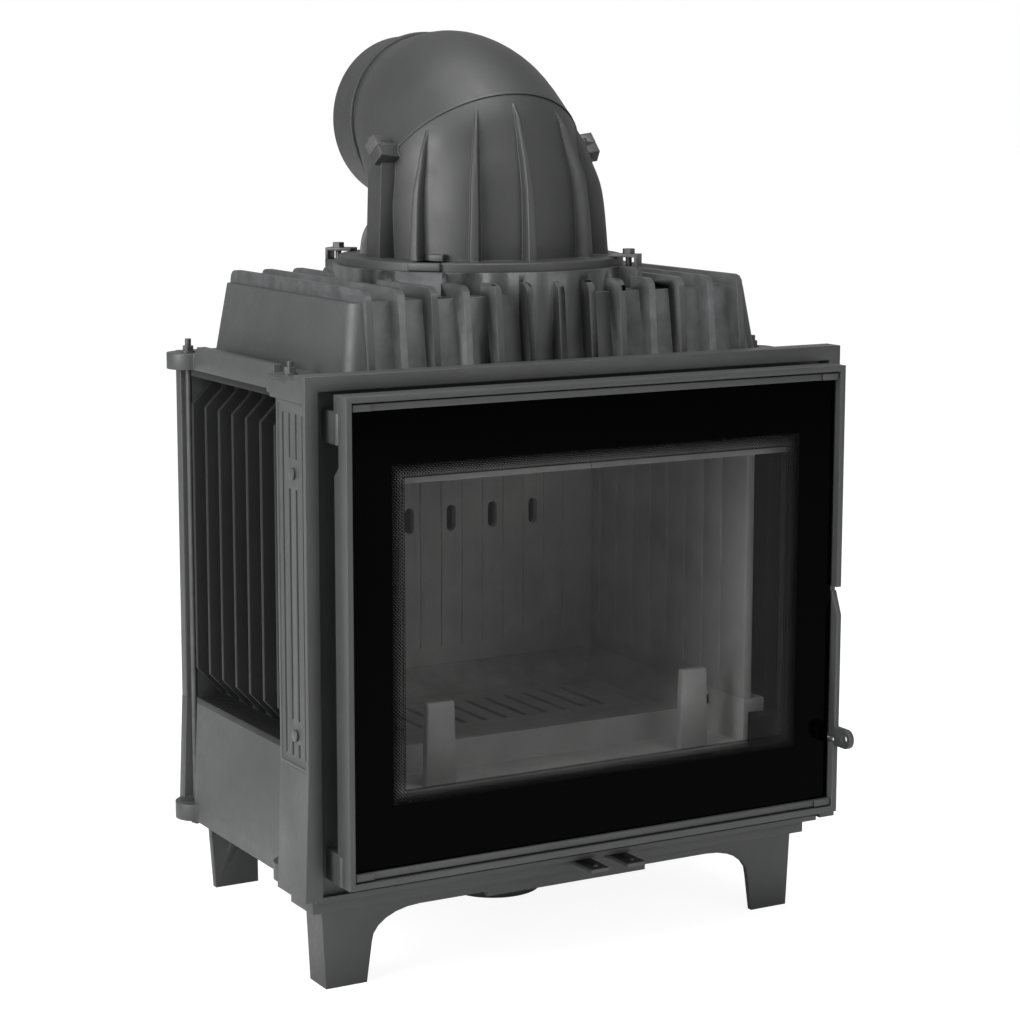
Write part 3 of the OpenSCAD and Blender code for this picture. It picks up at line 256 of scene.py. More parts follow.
    @staticmethod
    def join(name: str, parts: Sequence[bpy.types.Object]) -> bpy.types.Object:
        """Joins several pieces into one.

        Args:
            name: name of the joined piece.
            parts: the pieces, the first one stays.

        Returns:
            The joined piece.
        """
        Bench.pick(parts[0])
        for part in parts[1:]:
            part.select_set(True)
        bpy.ops.object.join()
        parts[0].name = parts[0].data.name = name
        return parts[0]

    @staticmethod
    def copy_of(node: str) -> bpy.types.Object:
        """Copies a CAD node and welds its loose triangles into faces.

        Args:
            node: name of the node.

        Returns:
            The welded copy.
        """
        source = NODES[node]
        copy = bpy.data.objects.new(f"{node}.cast", source.data.copy())
        bpy.context.scene.collection.objects.link(copy)
        copy.data.materials.clear()
        Bench.pick(copy)
        bpy.ops.object.mode_set(mode="EDIT")
        bpy.ops.mesh.select_all(action="SELECT")
        bpy.ops.mesh.remove_doubles(threshold=Bench.WELD)
        bpy.ops.mesh.dissolve_limited(angle_limit=Bench.FLAT)
        bpy.ops.mesh.normals_make_consistent(inside=False)
        bpy.ops.object.mode_set(mode="OBJECT")
        return copy


class Board:
    """Shader nodes of one material."""

    EDGE_SAMPLES = 6
    FLAT_TURN = 0.985
    SHARP_TURN = 0.8

    def __init__(self, name: str) -> None:
        """Starts an empty material with its coordinates."""
        self.material = bpy.data.materials.new(name)
        self.material.use_nodes = True
        self.tree = self.material.node_tree
        self.tree.nodes.clear()
        self.coords = self.add("ShaderNodeTexCoord").outputs["Object"]

    def add(self, kind: str, inputs: dict | None = None, **settings: object) -> bpy.types.Node:
        """Adds one node.

        Args:
            kind: the node's type name.
            inputs: values or sockets by input name or number.
            settings: properties of the node.

        Returns:
            The new node.
        """
        node = self.tree.nodes.new(kind)
        for key, value in settings.items():
            setattr(node, key, value)
        for key, value in (inputs or {}).items():
            if isinstance(value, bpy.types.NodeSocket):
                self.tree.links.new(value, node.inputs[key])
            else:
                node.inputs[key].default_value = value
        return node

    def math(self, operation: str, first: object, second: object = 0.0) -> bpy.types.NodeSocket:
        """Returns the output of one sum."""
        return self.add("ShaderNodeMath", {0: first, 1: second}, operation=operation).outputs[0]

    def noise(self, scale: float, detail: float = 3.0, rough: float = 0.55) -> bpy.types.NodeSocket:
        """Returns the grey output of a noise texture."""
        inputs = {"Vector": self.coords, "Scale": scale, "Detail": detail, "Roughness": rough}
        return self.add("ShaderNodeTexNoise", inputs).outputs[0]

    def waves(self, coords: object, scale: float, distortion: float, direction: str) -> bpy.types.NodeSocket:
        """Returns the grey output of a wave texture."""
        inputs = {"Vector": coords, "Scale": scale, "Distortion": distortion}
        return self.add("ShaderNodeTexWave", inputs, bands_direction=direction).outputs[1]

    def span(self, value: object, low: float, high: float, to_low: float = 0.0,
             to_high: float = 1.0) -> bpy.types.NodeSocket:
        """Maps a span of values onto another and clamps it."""
        return self.add("ShaderNodeMapRange", {0: value, 1: low, 2: high, 3: to_low, 4: to_high}).outputs[0]

    def edges(self, radius: float) -> tuple[bpy.types.NodeSocket, bpy.types.NodeSocket]:
        """Finds the sharp edges of a piece.

        Args:
            radius: width of an edge in metres.

        Returns:
            The rounded normal, and a grey that is one on sharp edges.
        """
        soft = self.add("ShaderNodeBevel", {"Radius": radius}, samples=self.EDGE_SAMPLES).outputs[0]
        true = self.add("ShaderNodeNewGeometry").outputs["True Normal"]
        turn = self.add("ShaderNodeVectorMath", {0: soft, 1: true}, operation="DOT_PRODUCT").outputs["Value"]
        return soft, self.span(turn, self.FLAT_TURN, self.SHARP_TURN)

    def blend(self, factor: object, first: object, second: object) -> bpy.types.NodeSocket:
        """Mixes two colours."""
        return self.add("ShaderNodeMix", {0: factor, 6: first, 7: second}, data_type="RGBA").outputs[2]

    def bump(self, height: object, strength: float, distance: float,
             normal: bpy.types.NodeSocket | None = None) -> bpy.types.NodeSocket:
        """Turns a height into a normal."""
        inputs = {"Height": height, "Strength": strength, "Distance": distance}
        if normal is not None:
            inputs["Normal"] = normal
        return self.add("ShaderNodeBump", inputs).outputs[0]

    def finish(self, **inputs: object) -> bpy.types.Material:
        """Closes the material with a Principled shader."""
        names = {key.replace("_", " "): value for key, value in inputs.items()}
        shader = self.add("ShaderNodeBsdfPrincipled", names)
        self.add("ShaderNodeOutputMaterial", {"Surface": shader.outputs[0]})
        return self.material


def grey(value: float, warmth: float = 0.0) -> tuple[float, float, float, float]:
    """Returns a nearly neutral colour."""
    return (value * (1 + warmth), value, value * (1 - warmth), 1.0)


@dataclass(frozen=True)
class CastPaint:
    """Matt paint over cast iron with its fine grain, and its sharp edges painted lighter as a painted
    highlight.
    """

    name: str
    value: float = 0.044
    warmth: float = -0.02
    roughness: float = 0.46
    shine: float = 0.5
    grain: float = 700.0
    grain_depth: float = 0.00035
    coarse_ratio: float = 4.5
    mottle_scale: float = 7.0
    streak_scale: float = 38.0
    edge: float = 0.0014
    # Share of the painted highlight that lightens the colour on sharp edges.
    edge_highlight_share: float = 0.5
    soot: float = 0.0
    soot_scale: float = 5.5

    def tone(self, share: float) -> tuple[float, float, float, float]:
        """Returns the paint's colour, darker or lighter by a share."""
        return grey(self.value * share, self.warmth)

    def build(self) -> bpy.types.Material:
        """Returns the material."""
        board = Board(self.name)
        grain = board.noise(self.grain, 4.0, 0.62)
        coarse = board.noise(self.grain / self.coarse_ratio)
        mottle = board.noise(self.mottle_scale, 5.0, 0.6)
        streak = board.noise(self.streak_scale, 4.0, 0.65)
        soft, edges = board.edges(self.edge)
        # Painted highlight: sharp edges are lightened in the colour, broken up by streaks, standing in for
        # the light they catch.
        edge_highlight = board.math("MULTIPLY", edges, board.span(streak, 0.35, 0.65))
        colour = board.blend(board.span(mottle, 0.3, 0.72), self.tone(0.86), self.tone(1.14))
        colour = board.blend(board.span(grain, 0.62, 0.8, 0.0, 0.5), colour, self.tone(1.9))
        colour = board.blend(board.span(grain, 0.4, 0.22, 0.0, 0.55), colour, self.tone(0.45))
        colour = board.blend(board.math("MULTIPLY", edge_highlight, self.edge_highlight_share), colour, self.tone(2.4))
        if self.soot:
            smoke = board.span(board.noise(self.soot_scale, 5.0, 0.65), 0.42, 0.66, 0.0, self.soot)
            colour = board.blend(smoke, colour, grey(0.022, 0.04))
        height = board.math("ADD", grain, board.math("MULTIPLY", coarse, 0.8))
        normal = board.bump(height, 0.55, self.grain_depth, soft)
        wear = board.math("ADD", board.math("MULTIPLY", streak, 0.6), board.math("MULTIPLY", grain, 0.4))
        rough = board.span(wear, 0.3, 0.7, self.roughness - 0.08, self.roughness + 0.1)
        return board.finish(Base_Color=colour, Roughness=rough, Normal=normal, Specular_IOR_Level=self.shine)


@dataclass(frozen=True)
class DarkSteel:
    """Painted or blackened steel with faint scratches."""

    name: str
    value: float = 0.05
    roughness: float = 0.42
    metallic: float = 0.0
    edge: float = 0.0006
    # Share of the painted highlight that lightens the colour on sharp edges.
    edge_highlight_share: float = 0.35
    cloud_scale: float = 45.0
    scratch_scale: float = 1500.0

    def build(self) -> bpy.types.Material:
        """Returns the material."""
        board = Board(self.name)
        cloud = board.noise(self.cloud_scale, 4.0)
        fine = board.noise(self.scratch_scale, 2.0)
        soft, edges = board.edges(self.edge)
        # Painted highlight: sharp edges are lightened in the colour, standing in for the light they catch.
        edge_highlight = board.math("MULTIPLY", edges, self.edge_highlight_share)
        colour = board.blend(board.span(cloud, 0.3, 0.7), grey(self.value * 0.8), grey(self.value * 1.25))
        colour = board.blend(edge_highlight, colour, grey(self.value * 3.0))
        rough = board.span(fine, 0.3, 0.7, self.roughness - 0.07, self.roughness + 0.1)
        return board.finish(Base_Color=colour, Roughness=rough, Metallic=self.metallic,
                            Normal=board.bump(fine, 0.3, 0.0001, soft))


@dataclass(frozen=True)
class BareSteel:
    """Turned steel with fine rings along its length."""

    name: str
    value: float = 0.42
    ring_scale: float = 420.0
    cloud_scale: float = 60.0

    def build(self) -> bpy.types.Material:
        """Returns the material."""
        board = Board(self.name)
        rings = board.waves(board.coords, self.ring_scale, 1.5, "Z")
        cloud = board.noise(self.cloud_scale, 4.0)
        colour = board.blend(board.span(cloud, 0.3, 0.7), grey(self.value * 0.8), grey(self.value * 1.1))
        rough = board.span(board.math("ADD", rings, cloud), 0.4, 1.5, 0.24, 0.4)
        return board.finish(Base_Color=colour, Roughness=rough, Metallic=1.0,
                            Normal=board.bump(rings, 0.2, 0.0001))


@dataclass(frozen=True)
class SealRope:
    """Braided glass-fibre rope, darkened with graphite."""

    name: str = "seal_rope"
    value: float = 0.05
    braid_scale: float = 90.0
    fuzz_scale: float = 900.0

    def build(self) -> bpy.types.Material:
        """Returns the material."""
        board = Board(self.name)
        mirror = board.add("ShaderNodeMapping", {"Vector": board.coords, "Scale": (-1.0, 1.0, 1.0)})
        strands = [board.waves(coords, self.braid_scale, 0.6, "DIAGONAL")
                   for coords in (board.coords, mirror.outputs[0])]
        weave = board.math("MAXIMUM", strands[0], strands[1])
        fuzz = board.noise(self.fuzz_scale)
        dark, light = grey(self.value * 0.4), grey(self.value * 1.6, 0.03)
        colour = board.blend(board.span(weave, 0.2, 0.9), dark, light)
        height = board.math("ADD", weave, board.math("MULTIPLY", fuzz, 0.4))
        return board.finish(Base_Color=colour, Roughness=0.92, Normal=board.bump(height, 0.8, 0.001))


@dataclass(frozen=True)
class DoorGlass:
    """Clear heat-proof glass with a printed black border and a band of dots."""

    name: str = "door_glass"
    inner_half: float = 0.271
    inner_z: tuple[float, float] = (0.258, 0.630)
    outer_half: float = 0.2875
    outer_z: tuple[float, float] = (0.242, 0.6464)
    dot_pitch: float = 0.0042
    dot_sizes: tuple[float, float] = (0.5, 0.24)
    dot_blur: float = 0.04
    band_width: float = 0.0165
    print_blur: float = 0.0003
    far_off: float = 5.0
    clear: float = 0.3
    shine: float = 0.02

    @staticmethod
    def _inside(board: Board, half: float, z_span: tuple[float, float]) -> bpy.types.NodeSocket:
        """Returns how far inside a rectangle a point lies, in metres."""
        x, _, z = board.add("ShaderNodeSeparateXYZ", {0: board.coords}).outputs
        mid, tall = (z_span[0] + z_span[1]) / 2, (z_span[1] - z_span[0]) / 2
        across = board.math("SUBTRACT", half, board.math("ABSOLUTE", x))
        upward = board.math("SUBTRACT", tall, board.math("ABSOLUTE", board.math("SUBTRACT", z, mid)))
        return board.math("MINIMUM", across, upward)

    def _dots(self, board: Board, band: bpy.types.NodeSocket) -> bpy.types.NodeSocket:
        """Returns the staggered dots, which grow smaller from the border inwards."""
        x, _, z = board.add("ShaderNodeSeparateXYZ", {0: board.coords}).outputs
        squares = []
        for axis in (board.math("ADD", x, z), board.math("SUBTRACT", x, z)):
            steps = board.math("DIVIDE", board.math("ADD", axis, self.far_off), self.dot_pitch)
            cell = board.math("SUBTRACT", board.math("FRACT", steps), 0.5)
            squares.append(board.math("POWER", cell, 2.0))
        reach = board.math("SQRT", board.math("ADD", squares[0], squares[1]))
        size = board.span(band, 0.0, self.band_width, *self.dot_sizes)
        return board.span(board.math("SUBTRACT", size, reach), -self.dot_blur, self.dot_blur)

    def build(self) -> bpy.types.Material:
        """Returns the material."""
        board = Board(self.name)
        window = self._inside(board, self.inner_half, self.inner_z)
        band = self._inside(board, self.outer_half, self.outer_z)
        border = board.span(band, 0.0, self.print_blur, 1.0, 0.0)
        outside = board.span(window, -self.print_blur, 0.0, 1.0, 0.0)
        printed = board.math("MAXIMUM", border, board.math("MULTIPLY", self._dots(board, band), outside))
        line = board.span(board.math("ABSOLUTE", board.math("ADD", window, 0.0004)), 0.0005, 0.0008, 1.0, 0.0)
        printed = board.math("MAXIMUM", printed, board.math("MULTIPLY", line, 0.75))
        haze = board.span(board.noise(5.0, 4.0), 0.3, 0.75, self.clear - 0.05, self.clear + 0.05)
        rough = board.span(board.noise(60.0), 0.3, 0.7, 0.05, 0.09)
        return board.finish(Base_Color=board.blend(printed, grey(0.03), grey(0.0005)), Roughness=rough,
                            Alpha=board.math("MAXIMUM", printed, haze), Specular_IOR_Level=self.shine,
                            Normal=board.bump(board.noise(9.0, 1.0), 0.05, 0.001))


class Paint(Enum):
    """The finishes of the insert by the record's slot."""

    BODY = "cast_body"
    # Painted shade: a much darker version of the body paint for the finned side walls.
    FINS = "cast_body_shaded_fins"
    FLUE = "cast_flue"
    HEARTH = "cast_hearth"
    SHEET = "sheet_black"
    STEEL = "steel_black"
    FASTENER = "fastener_dark"
    BRIGHT = "steel_bright"
    GLASS = "door_glass"
    ROPE = "seal_rope"


Finish = CastPaint | DarkSteel | BareSteel | SealRope | DoorGlass

FINISHES: dict[Paint, Finish] = {
    Paint.BODY: CastPaint("cast_body"),
    Paint.FLUE: CastPaint("cast_flue", value=0.025, roughness=0.5, shine=0.6, grain=900.0,
                          grain_depth=0.00015),
    Paint.HEARTH: CastPaint("cast_hearth", value=0.52, warmth=0.01, roughness=0.66, soot=0.22),
    # Painted shade: the side walls get the body paint much darker, standing in for the shade that falls on
    # them inside the firebox.
    Paint.FINS: CastPaint("cast_body_shaded_fins", value=0.009, roughness=0.5, shine=0.25),
    Paint.SHEET: DarkSteel("sheet_black", value=0.05),
    Paint.STEEL: DarkSteel("steel_black", value=0.06),
    Paint.FASTENER: DarkSteel("fastener_dark", value=0.06, roughness=0.36, metallic=0.3),
    Paint.BRIGHT: BareSteel("steel_bright"),
    Paint.GLASS: DoorGlass(),
    Paint.ROPE: SealRope(),
}


class Shop:
    """Paint shop that makes each finish once and puts it on pieces."""

    def __init__(self) -> None:
        """Makes all finishes."""
        self.made = {paint: finish.build() for paint, finish in FINISHES.items()}

    def coat(self, obj: bpy.types.Object, paint: Paint) -> bpy.types.Object:
        """Puts a finish on a piece."""
        obj.data.materials.clear()
        obj.data.materials.append(self.made[paint])
        return obj


@dataclass
class Assembly:
    """A group of castings that rides on one body of the frame."""

    shop: Shop
    body: str = "body"
    cast: dict[str, float] = field(default_factory=dict)
    plain: dict[str, Paint] = field(default_factory=dict)
    paints: dict[str, Paint] = field(default_factory=dict)
    made: list[bpy.types.Object] = field(default_factory=list)

    def build(self) -> None:
        """Makes welded, rounded copies of the castings."""
        for node, width in self.cast.items():
            piece = Bench.copy_of(node)
            Bench.bevel(piece, width / MM_PER_M)
            self.shop.coat(piece, self.paints.get(node, Paint.BODY))
            self.put(piece, node)
        self.extra()

    def extra(self) -> None:
        """Adds the pieces that need more than a rounded copy."""

    def dress(self) -> None:
        """Paints the nodes that stay as the CAD model has them."""
        for node, paint in self.plain.items():
            self.shop.coat(NODES[node], paint)
        log.info("%s: %d pieces made, %d nodes painted", type(self).__name__, len(self.made), len(self.plain))

    def put(self, piece: bpy.types.Object, *nodes: str) -> bpy.types.Object:
        """Makes a piece ride on this body in place of its nodes."""
        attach(piece, self.body)
        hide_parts(*nodes)
        self.made.append(piece)
        return piece


@dataclass
class Stands(Assembly):
    """Legs, base, air inlet and the two air levers' guide."""

    def __post_init__(self) -> None:
        """Sets the castings of the stands."""
        self.cast = {"front_stand": 1.6, "rear_stand": 1.6, "base_box": 2.0, "inlet_spigot": 1.0,
                     "air_guide": 0.6, "ash_pan": 0.5}
        self.paints = {"inlet_spigot": Paint.FLUE, "air_guide": Paint.SHEET, "ash_pan": Paint.SHEET}
        self.plain = {"stand_bolts": Paint.FASTENER}


@dataclass
class Firebox(Assembly):
    """Walls, linings, bed and grate of the firebox."""

    def __post_init__(self) -> None:
        """Sets the castings of the firebox."""
        hearth = ("hearth_bed", "grate", "log_guard_left", "log_guard_right", "lining_rear", "lining_left",
                  "lining_right", "deflector_left", "deflector_right", "baffle_left", "baffle_right")
        self.cast = {name: 0.9 for name in hearth}
        self.cast.update({"hearth_bed": 1.6, "log_guard_left": 2.0, "log_guard_right": 2.0,
                          "side_wall_left": 1.4, "side_wall_right": 1.4, "rear_wall": 1.6})
        self.paints = {name: Paint.HEARTH for name in hearth}
        # The side walls get the darker body paint, which paints in the shade inside the firebox.
        self.paints.update({"side_wall_left": Paint.FINS, "side_wall_right": Paint.FINS})


@dataclass
class Front(Assembly):
    """Front frame, pilasters, top plate and the tie rods."""

    def __post_init__(self) -> None:
        """Sets the castings of the front."""
        self.cast = {"front_frame": 1.6, "pilaster_left": 0.9, "pilaster_right": 0.9, "top_plate": 1.8,
                     "latch_keeper": 0.8, "pilaster_screws": 0.8}
        self.paints = {"pilaster_screws": Paint.FASTENER}
        self.plain = {"keeper_screws": Paint.FASTENER, "hinge_pins": Paint.BRIGHT, "tie_rods": Paint.FASTENER,
                      "tie_nuts": Paint.FASTENER, "tie_washers": Paint.FASTENER}


@dataclass
class Levers(Assembly):
    """One air lever with its raised pip."""

    node: str = "primary_air_lever"

    def __post_init__(self) -> None:
        """Sets the lever's node."""
        self.cast = {self.node: 0.9}
        self.paints = {self.node: Paint.STEEL}


@dataclass
class Door(Assembly):
    """Door casting with its glass, strips and rope."""

    body: str = "door"

    def __post_init__(self) -> None:
        """Sets the door's pieces."""
        self.cast = {"door_frame": 1.2, "glass_bar_top": 1.0, "glass_bar_bottom": 1.0, "glass_bar_clips": 0.7,
                     "door_rope": 2.6}
        self.paints = {"door_rope": Paint.ROPE}
        self.plain = {"door_glass": Paint.GLASS, "glass_gasket": Paint.ROPE}


@dataclass
class Handle(Assembly):
    """Handle bar with its eye, shaft and latch."""

    body: str = "handle"

    def __post_init__(self) -> None:
        """Sets the handle's pieces."""
        self.cast = {"handle_lever": 2.4, "latch_cam": 0.8}
        self.paints = {"latch_cam": Paint.STEEL}
        self.plain = {"handle_shaft": Paint.BRIGHT, "cam_nut": Paint.FASTENER}


@dataclass
class Dome(Assembly):
    """Ribbed dome with its ring and clamps."""

    def __post_init__(self) -> None:
        """Sets the dome's pieces."""
        self.cast = {"dome": 2.2, "collar_clamps": 0.8}
        self.paints = {"collar_clamps": Paint.STEEL}
        self.plain = {"collar_bolts": Paint.FASTENER}


@dataclass(frozen=True)
class Bend:
    """Numbers of the flue bend, in millimetres and degrees, but its ears' edge in metres."""

    axis_y: float = 317.0
    foot_z: float = 862.0
    foot_r: float = 138.0
    seam_r: float = 137.0
    rise: float = 111.0
    back: float = 10.0
    tilt: float = 45.0
    spigot_y: float = 462.0
    spigot_z: float = 1032.0
    spigot_r: float = 109.0
    bore_r: float = 101.0
    spigot_end: float = 527.0
    wall: float = 8.0
    ear_angle: float = -12.0
    ear_edge: float = 0.0012

    def seam(self) -> Vector:
        """Returns the seam's centre."""
        return at(0, self.axis_y + self.back, self.foot_z + self.rise)

    def seam_normal(self) -> Vector:
        """Returns the seam's axis."""
        turn = math.radians(self.tilt)
        return Vector((0, math.sin(turn), math.cos(turn)))

    def seam_ring(self, r: float, lift: float) -> list[Vector]:
        """Returns a circle about the seam's axis.

        Args:
            r: radius in millimetres.
            lift: how far it lies above the seam, in metres.

        Returns:
            The points in the shared frame.
        """
        shift = self.seam_normal() * lift
        loop = Bend.ring(self.tilt, self.axis_y + self.back, self.foot_z + self.rise, r)
        return [point + shift for point in loop]

    def ears(self, low: Point, high: Point) -> list[bpy.types.Object]:
        """Makes the two mirrored ears that the clips hold together.

        Args:
            low: lowest corner from the seam's centre, in metres.
            high: highest corner.

        Returns:
            The right and the left ear.
        """
        seam = Matrix.Translation(self.seam()) @ Matrix.Rotation(math.radians(-self.tilt), 4, "X")
        turn = Matrix.Rotation(math.radians(self.ear_angle), 4, "Z")
        made = []
        for side in (1, -1):
            ear = Bench.block("ear", Vector(low), Vector(high), self.ear_edge)
            ear.data.transform(Matrix.Diagonal((side, 1, 1, 1)) @ seam @ turn)
            if side < 0:
                ear.data.flip_normals()
            made.append(ear)
        return made

    @staticmethod
    def ring(tilt: float, y: float, z: float, r: float, count: int = ROUND) -> list[Vector]:
        """Returns a tilted circle of points.

        Args:
            tilt: tilt about the x axis in degrees.
            y: depth of the centre.
            z: height of the centre.
            r: radius.
            count: number of points.

        Returns:
            The points in the shared frame.
        """
        turn = math.radians(tilt)
        return [at(r * math.cos(a), y + r * math.sin(a) * math.cos(turn),
                   z - r * math.sin(a) * math.sin(turn))
                for a in (2 * math.pi * k / count for k in range(count))]


@dataclass
class Hood(Assembly):
    """Turning hood with its flange, ribs and side pilasters.

    Its sizes are in millimetres and degrees, but edges, the foot of a rib and the ears are in metres.
    """

    body: str = "flue_hood"
    bend: Bend = Bend()
    # A station holds the shares of tilt, way back and rise that it has reached, and its added girth.
    stations: tuple = ((0, 0, 0, 0), (0.43, 0.15, 0.46, 0.02), (0.64, 0.5, 0.68, 0.013),
                       (0.83, 0.65, 0.86, 0.012), (1, 1, 1, 0))
    rows_per_station: int = 5
    foot_drop: float = 2.0
    inner_drop: float = 14.0
    # A rib has its angle from the front and how far it stands out at its foot.
    ribs: tuple = ((-120, 14), (-62, 12), (-32, 14), (-4, 12), (34, 14), (58, 22), (120, 14))
    front: float = -90.0
    rib_end_share: float = 0.9
    rib_depth: float = 4.0
    rib_tip: float = 4.5
    rib_half_tip: float = 0.8
    rib_half_gain: float = 4.6
    rib_flare: tuple[float, float] = (2.6, 1.2)
    rib_mid_share: float = 0.86
    rib_foot: float = 0.002
    rim_steps: int = 720
    pad_y: tuple[float, float] = (-22, 15)
    pad_inner: float = 120
    pad_levels: tuple = ((860.0, 158.0), (1080.0, 151.0))
    edge: float = 0.0012
    crease: float = 35.0
    # The flange has its outer and inner radius, its underside and top and the rounding of its edge.
    flange: tuple = (183.5, 130.0, 851.3, 862.0, 2.5)
    flange_round: int = 128
    # The throat is this much smaller than the seam and runs between two heights along its axis, in metres.
    throat: tuple[float, float, float] = (12.0, -0.012, 0.006)
    # The lip runs from outside the seam's radius to inside it, and this deep below it, in metres.
    lip: tuple[float, float, float] = (0.5, 7.0, 0.005)
    lug_angle: float = 219.0
    lug_boxes: tuple = (((138.0, -21.5, 851.3), (188.0, 21.5, 862.0)),
                        ((134.0, -10.0, 860.0), (150.0, 10.0, 870.0)))
    lug_edge: float = 0.0015
    ear_box: tuple[Point, Point] = ((0.129, -0.01, -0.017), (0.165, 0.01, -SEAM_PLAY))

    def __post_init__(self) -> None:
        """Sets the clips that hold the elbow."""
        self.cast = {"elbow_clips": 0.8}
        self.paints = {"elbow_clips": Paint.STEEL}
        self.plain = {"elbow_clip_bolts": Paint.FASTENER}

    def rows(self, extra: float) -> list[list[float]]:
        """Returns tilt, depth, height and radius of each ring."""
        b = self.bend
        return [[b.tilt * s[0], b.axis_y + b.back * s[1], b.foot_z + b.rise * s[2],
                 b.foot_r * (1 + s[3]) + (b.seam_r - b.foot_r) * s[2] + extra]
                for s in smooth_path(self.stations, self.rows_per_station)]

    def shell(self, extra: float, low: float) -> bpy.types.Object:
        """Makes the closed body of the hood, as big as the outside or the inside.

        Args:
            extra: what is added to its radius.
            low: how far it runs below its foot.

        Returns:
            The body.
        """
        rows = self.rows(extra)
        loops = [Bend.ring(0, rows[0][1], rows[0][2] - low, rows[0][3])]
        loops += [Bend.ring(*row) for row in rows]
        return Bench.skin("hood_shell", loops)

    def rim(self, row: list[float], angle: float, extra: float) -> Vector:
        """Finds the point of a ring that lies at a compass angle from the axis.

        Args:
            row: tilt, depth, height and radius of the ring.
            angle: the compass angle.
            extra: what is added to the radius.

        Returns:
            The point in the shared frame.
        """
        tilt, y, z, r = row
        r += extra
        turn, goal = math.radians(tilt), math.radians(angle)

        def miss(a: float) -> float:
            """Returns how far the ring's point at an angle is from the goal."""
            found = math.atan2(y - self.bend.axis_y + r * math.sin(a) * math.cos(turn), r * math.cos(a))
            return abs(math.remainder(found - goal, 2 * math.pi))

        best = min((k * math.pi / self.rim_steps for k in range(2 * self.rim_steps)), key=miss)
        across, along = r * math.cos(best), r * math.sin(best)
        return at(across, y + along * math.cos(turn), z - along * math.sin(turn))

    def rib(self, angle: float, proud: float) -> bpy.types.Object:
        """Makes one wedge-shaped rib that follows the hood's side and runs out in a tip.

        Args:
            angle: compass angle of the rib from the axis.
            proud: how far it stands out at its foot.

        Returns:
            The rib.
        """
        side = Vector((-math.sin(math.radians(angle)), math.cos(math.radians(angle)), 0)) / MM_PER_M
        rows = self.rows(0.0)
        rows = rows[:int(len(rows) * self.rib_end_share)]
        loops = []
        for index, row in enumerate(rows):
            left = 1.0 - index / (len(rows) - 1)
            root = self.rim(row, angle, -self.rib_depth)
            crest = self.rim(row, angle, proud * left ** 1.2 + self.rib_tip * min(1.0, left * 4))
            mid = root.lerp(crest, self.rib_mid_share)
            half = self.rib_half_tip + self.rib_half_gain * left ** 1.3
            wide, waist = (half + flare for flare in self.rib_flare)
            loops.append([root - side * wide, mid - side * waist, crest - side * half,
                          crest + side * half, mid + side * waist, root + side * wide])
        foot = [point - Vector((0, 0, self.rib_foot)) for point in loops[0]]
        return Bench.skin("rib", [foot] + loops)

    def pad(self, side: int) -> bpy.types.Object:
        """Makes the pilaster of one side."""
        front, back = self.pad_y
        loops = []
        for z, outer in self.pad_levels:
            corners = ((self.pad_inner, front), (outer, front), (outer, back), (self.pad_inner, back))
            loops.append([at(side * x, self.bend.axis_y + y, z) for x, y in corners])
        return Bench.skin("pilaster", loops)

    def hollow(self) -> bpy.types.Object:
        """Makes the hood's wall, open at the foot and at the seam."""
        b = self.bend
        seam, normal = b.seam(), b.seam_normal()
        body = self.shell(0.0, self.foot_drop)
        Bench.cut_above(body, seam - normal * SEAM_PLAY, normal)
        inner = self.shell(-b.wall, self.inner_drop)
        Bench.cut_above(inner, seam - normal * (b.wall / MM_PER_M), normal)
        Bench.subtract(body, inner)
        shrink, *lifts = self.throat
        Bench.subtract(body, Bench.skin("throat", [b.seam_ring(b.seam_r - shrink, lift) for lift in lifts]))
        return body

    def extra(self) -> None:
        """Builds the hood round its own smooth body."""
        b = self.bend
        seam, normal = b.seam(), b.seam_normal()
        parts = [self.hollow()]
        parts += [self.rib(self.front + angle, proud) for angle, proud in self.ribs]
        parts += [self.pad(side) for side in (-1, 1)]
        for piece in parts[1:]:
            Bench.cut_above(piece, seam - normal * SEAM_PLAY, normal)
            Bench.bevel(piece, self.edge)
        parts.append(self.ring_of(*self.flange))
        proud, deep, tall = self.lip
        corners = ((proud, tall), (proud, 0.0), (-deep, 0.0), (-deep, tall))
        lip = [b.seam_ring(b.seam_r + out, -SEAM_PLAY - down) for out, down in corners]
        parts.append(Bench.skin("lip", lip, Ends.JOINED))
        parts += self.lugs() + b.ears(*self.ear_box)
        hood = Bench.join("hood.cast", parts)
        Bench.smooth(hood, math.radians(self.crease))
        self.shop.coat(hood, Paint.FLUE)
        self.put(hood, "hood")

    def ring_of(self, r_out: float, r_in: float, low: float, high: float, round_r: float) -> bpy.types.Object:
        """Makes a flat ring with a rounded upper edge.

        Args:
            r_out: outer radius.
            r_in: inner radius.
            low: height of its underside.
            high: height of its top.
            round_r: radius of the upper edge.

        Returns:
            The ring.
        """
        steps = [(r_out, low), (r_out, high - round_r)]
        steps += [(r_out - round_r * (1 - math.cos(a)), high - round_r * (1 - math.sin(a)))
                  for a in (math.pi * k / 10 for k in range(1, 6))]
        steps += [(r_in, high), (r_in, low)]
        loops = [Bend.ring(0, self.bend.axis_y, z, r, self.flange_round) for r, z in steps]
        return Bench.skin("flange", loops, Ends.JOINED)

    def lugs(self) -> list[bpy.types.Object]:
        """Makes the index lug and its tab."""
        turn = Matrix.Rotation(math.radians(self.lug_angle), 4, "Z")
        place = Matrix.Translation(at(0, self.bend.axis_y, 0)) @ turn
        made = []
        for low, high in self.lug_boxes:
            lug = Bench.block("lug", Vector(low) / MM_PER_M, Vector(high) / MM_PER_M, self.lug_edge)
            lug.data.transform(place)
            made.append(lug)
        return made


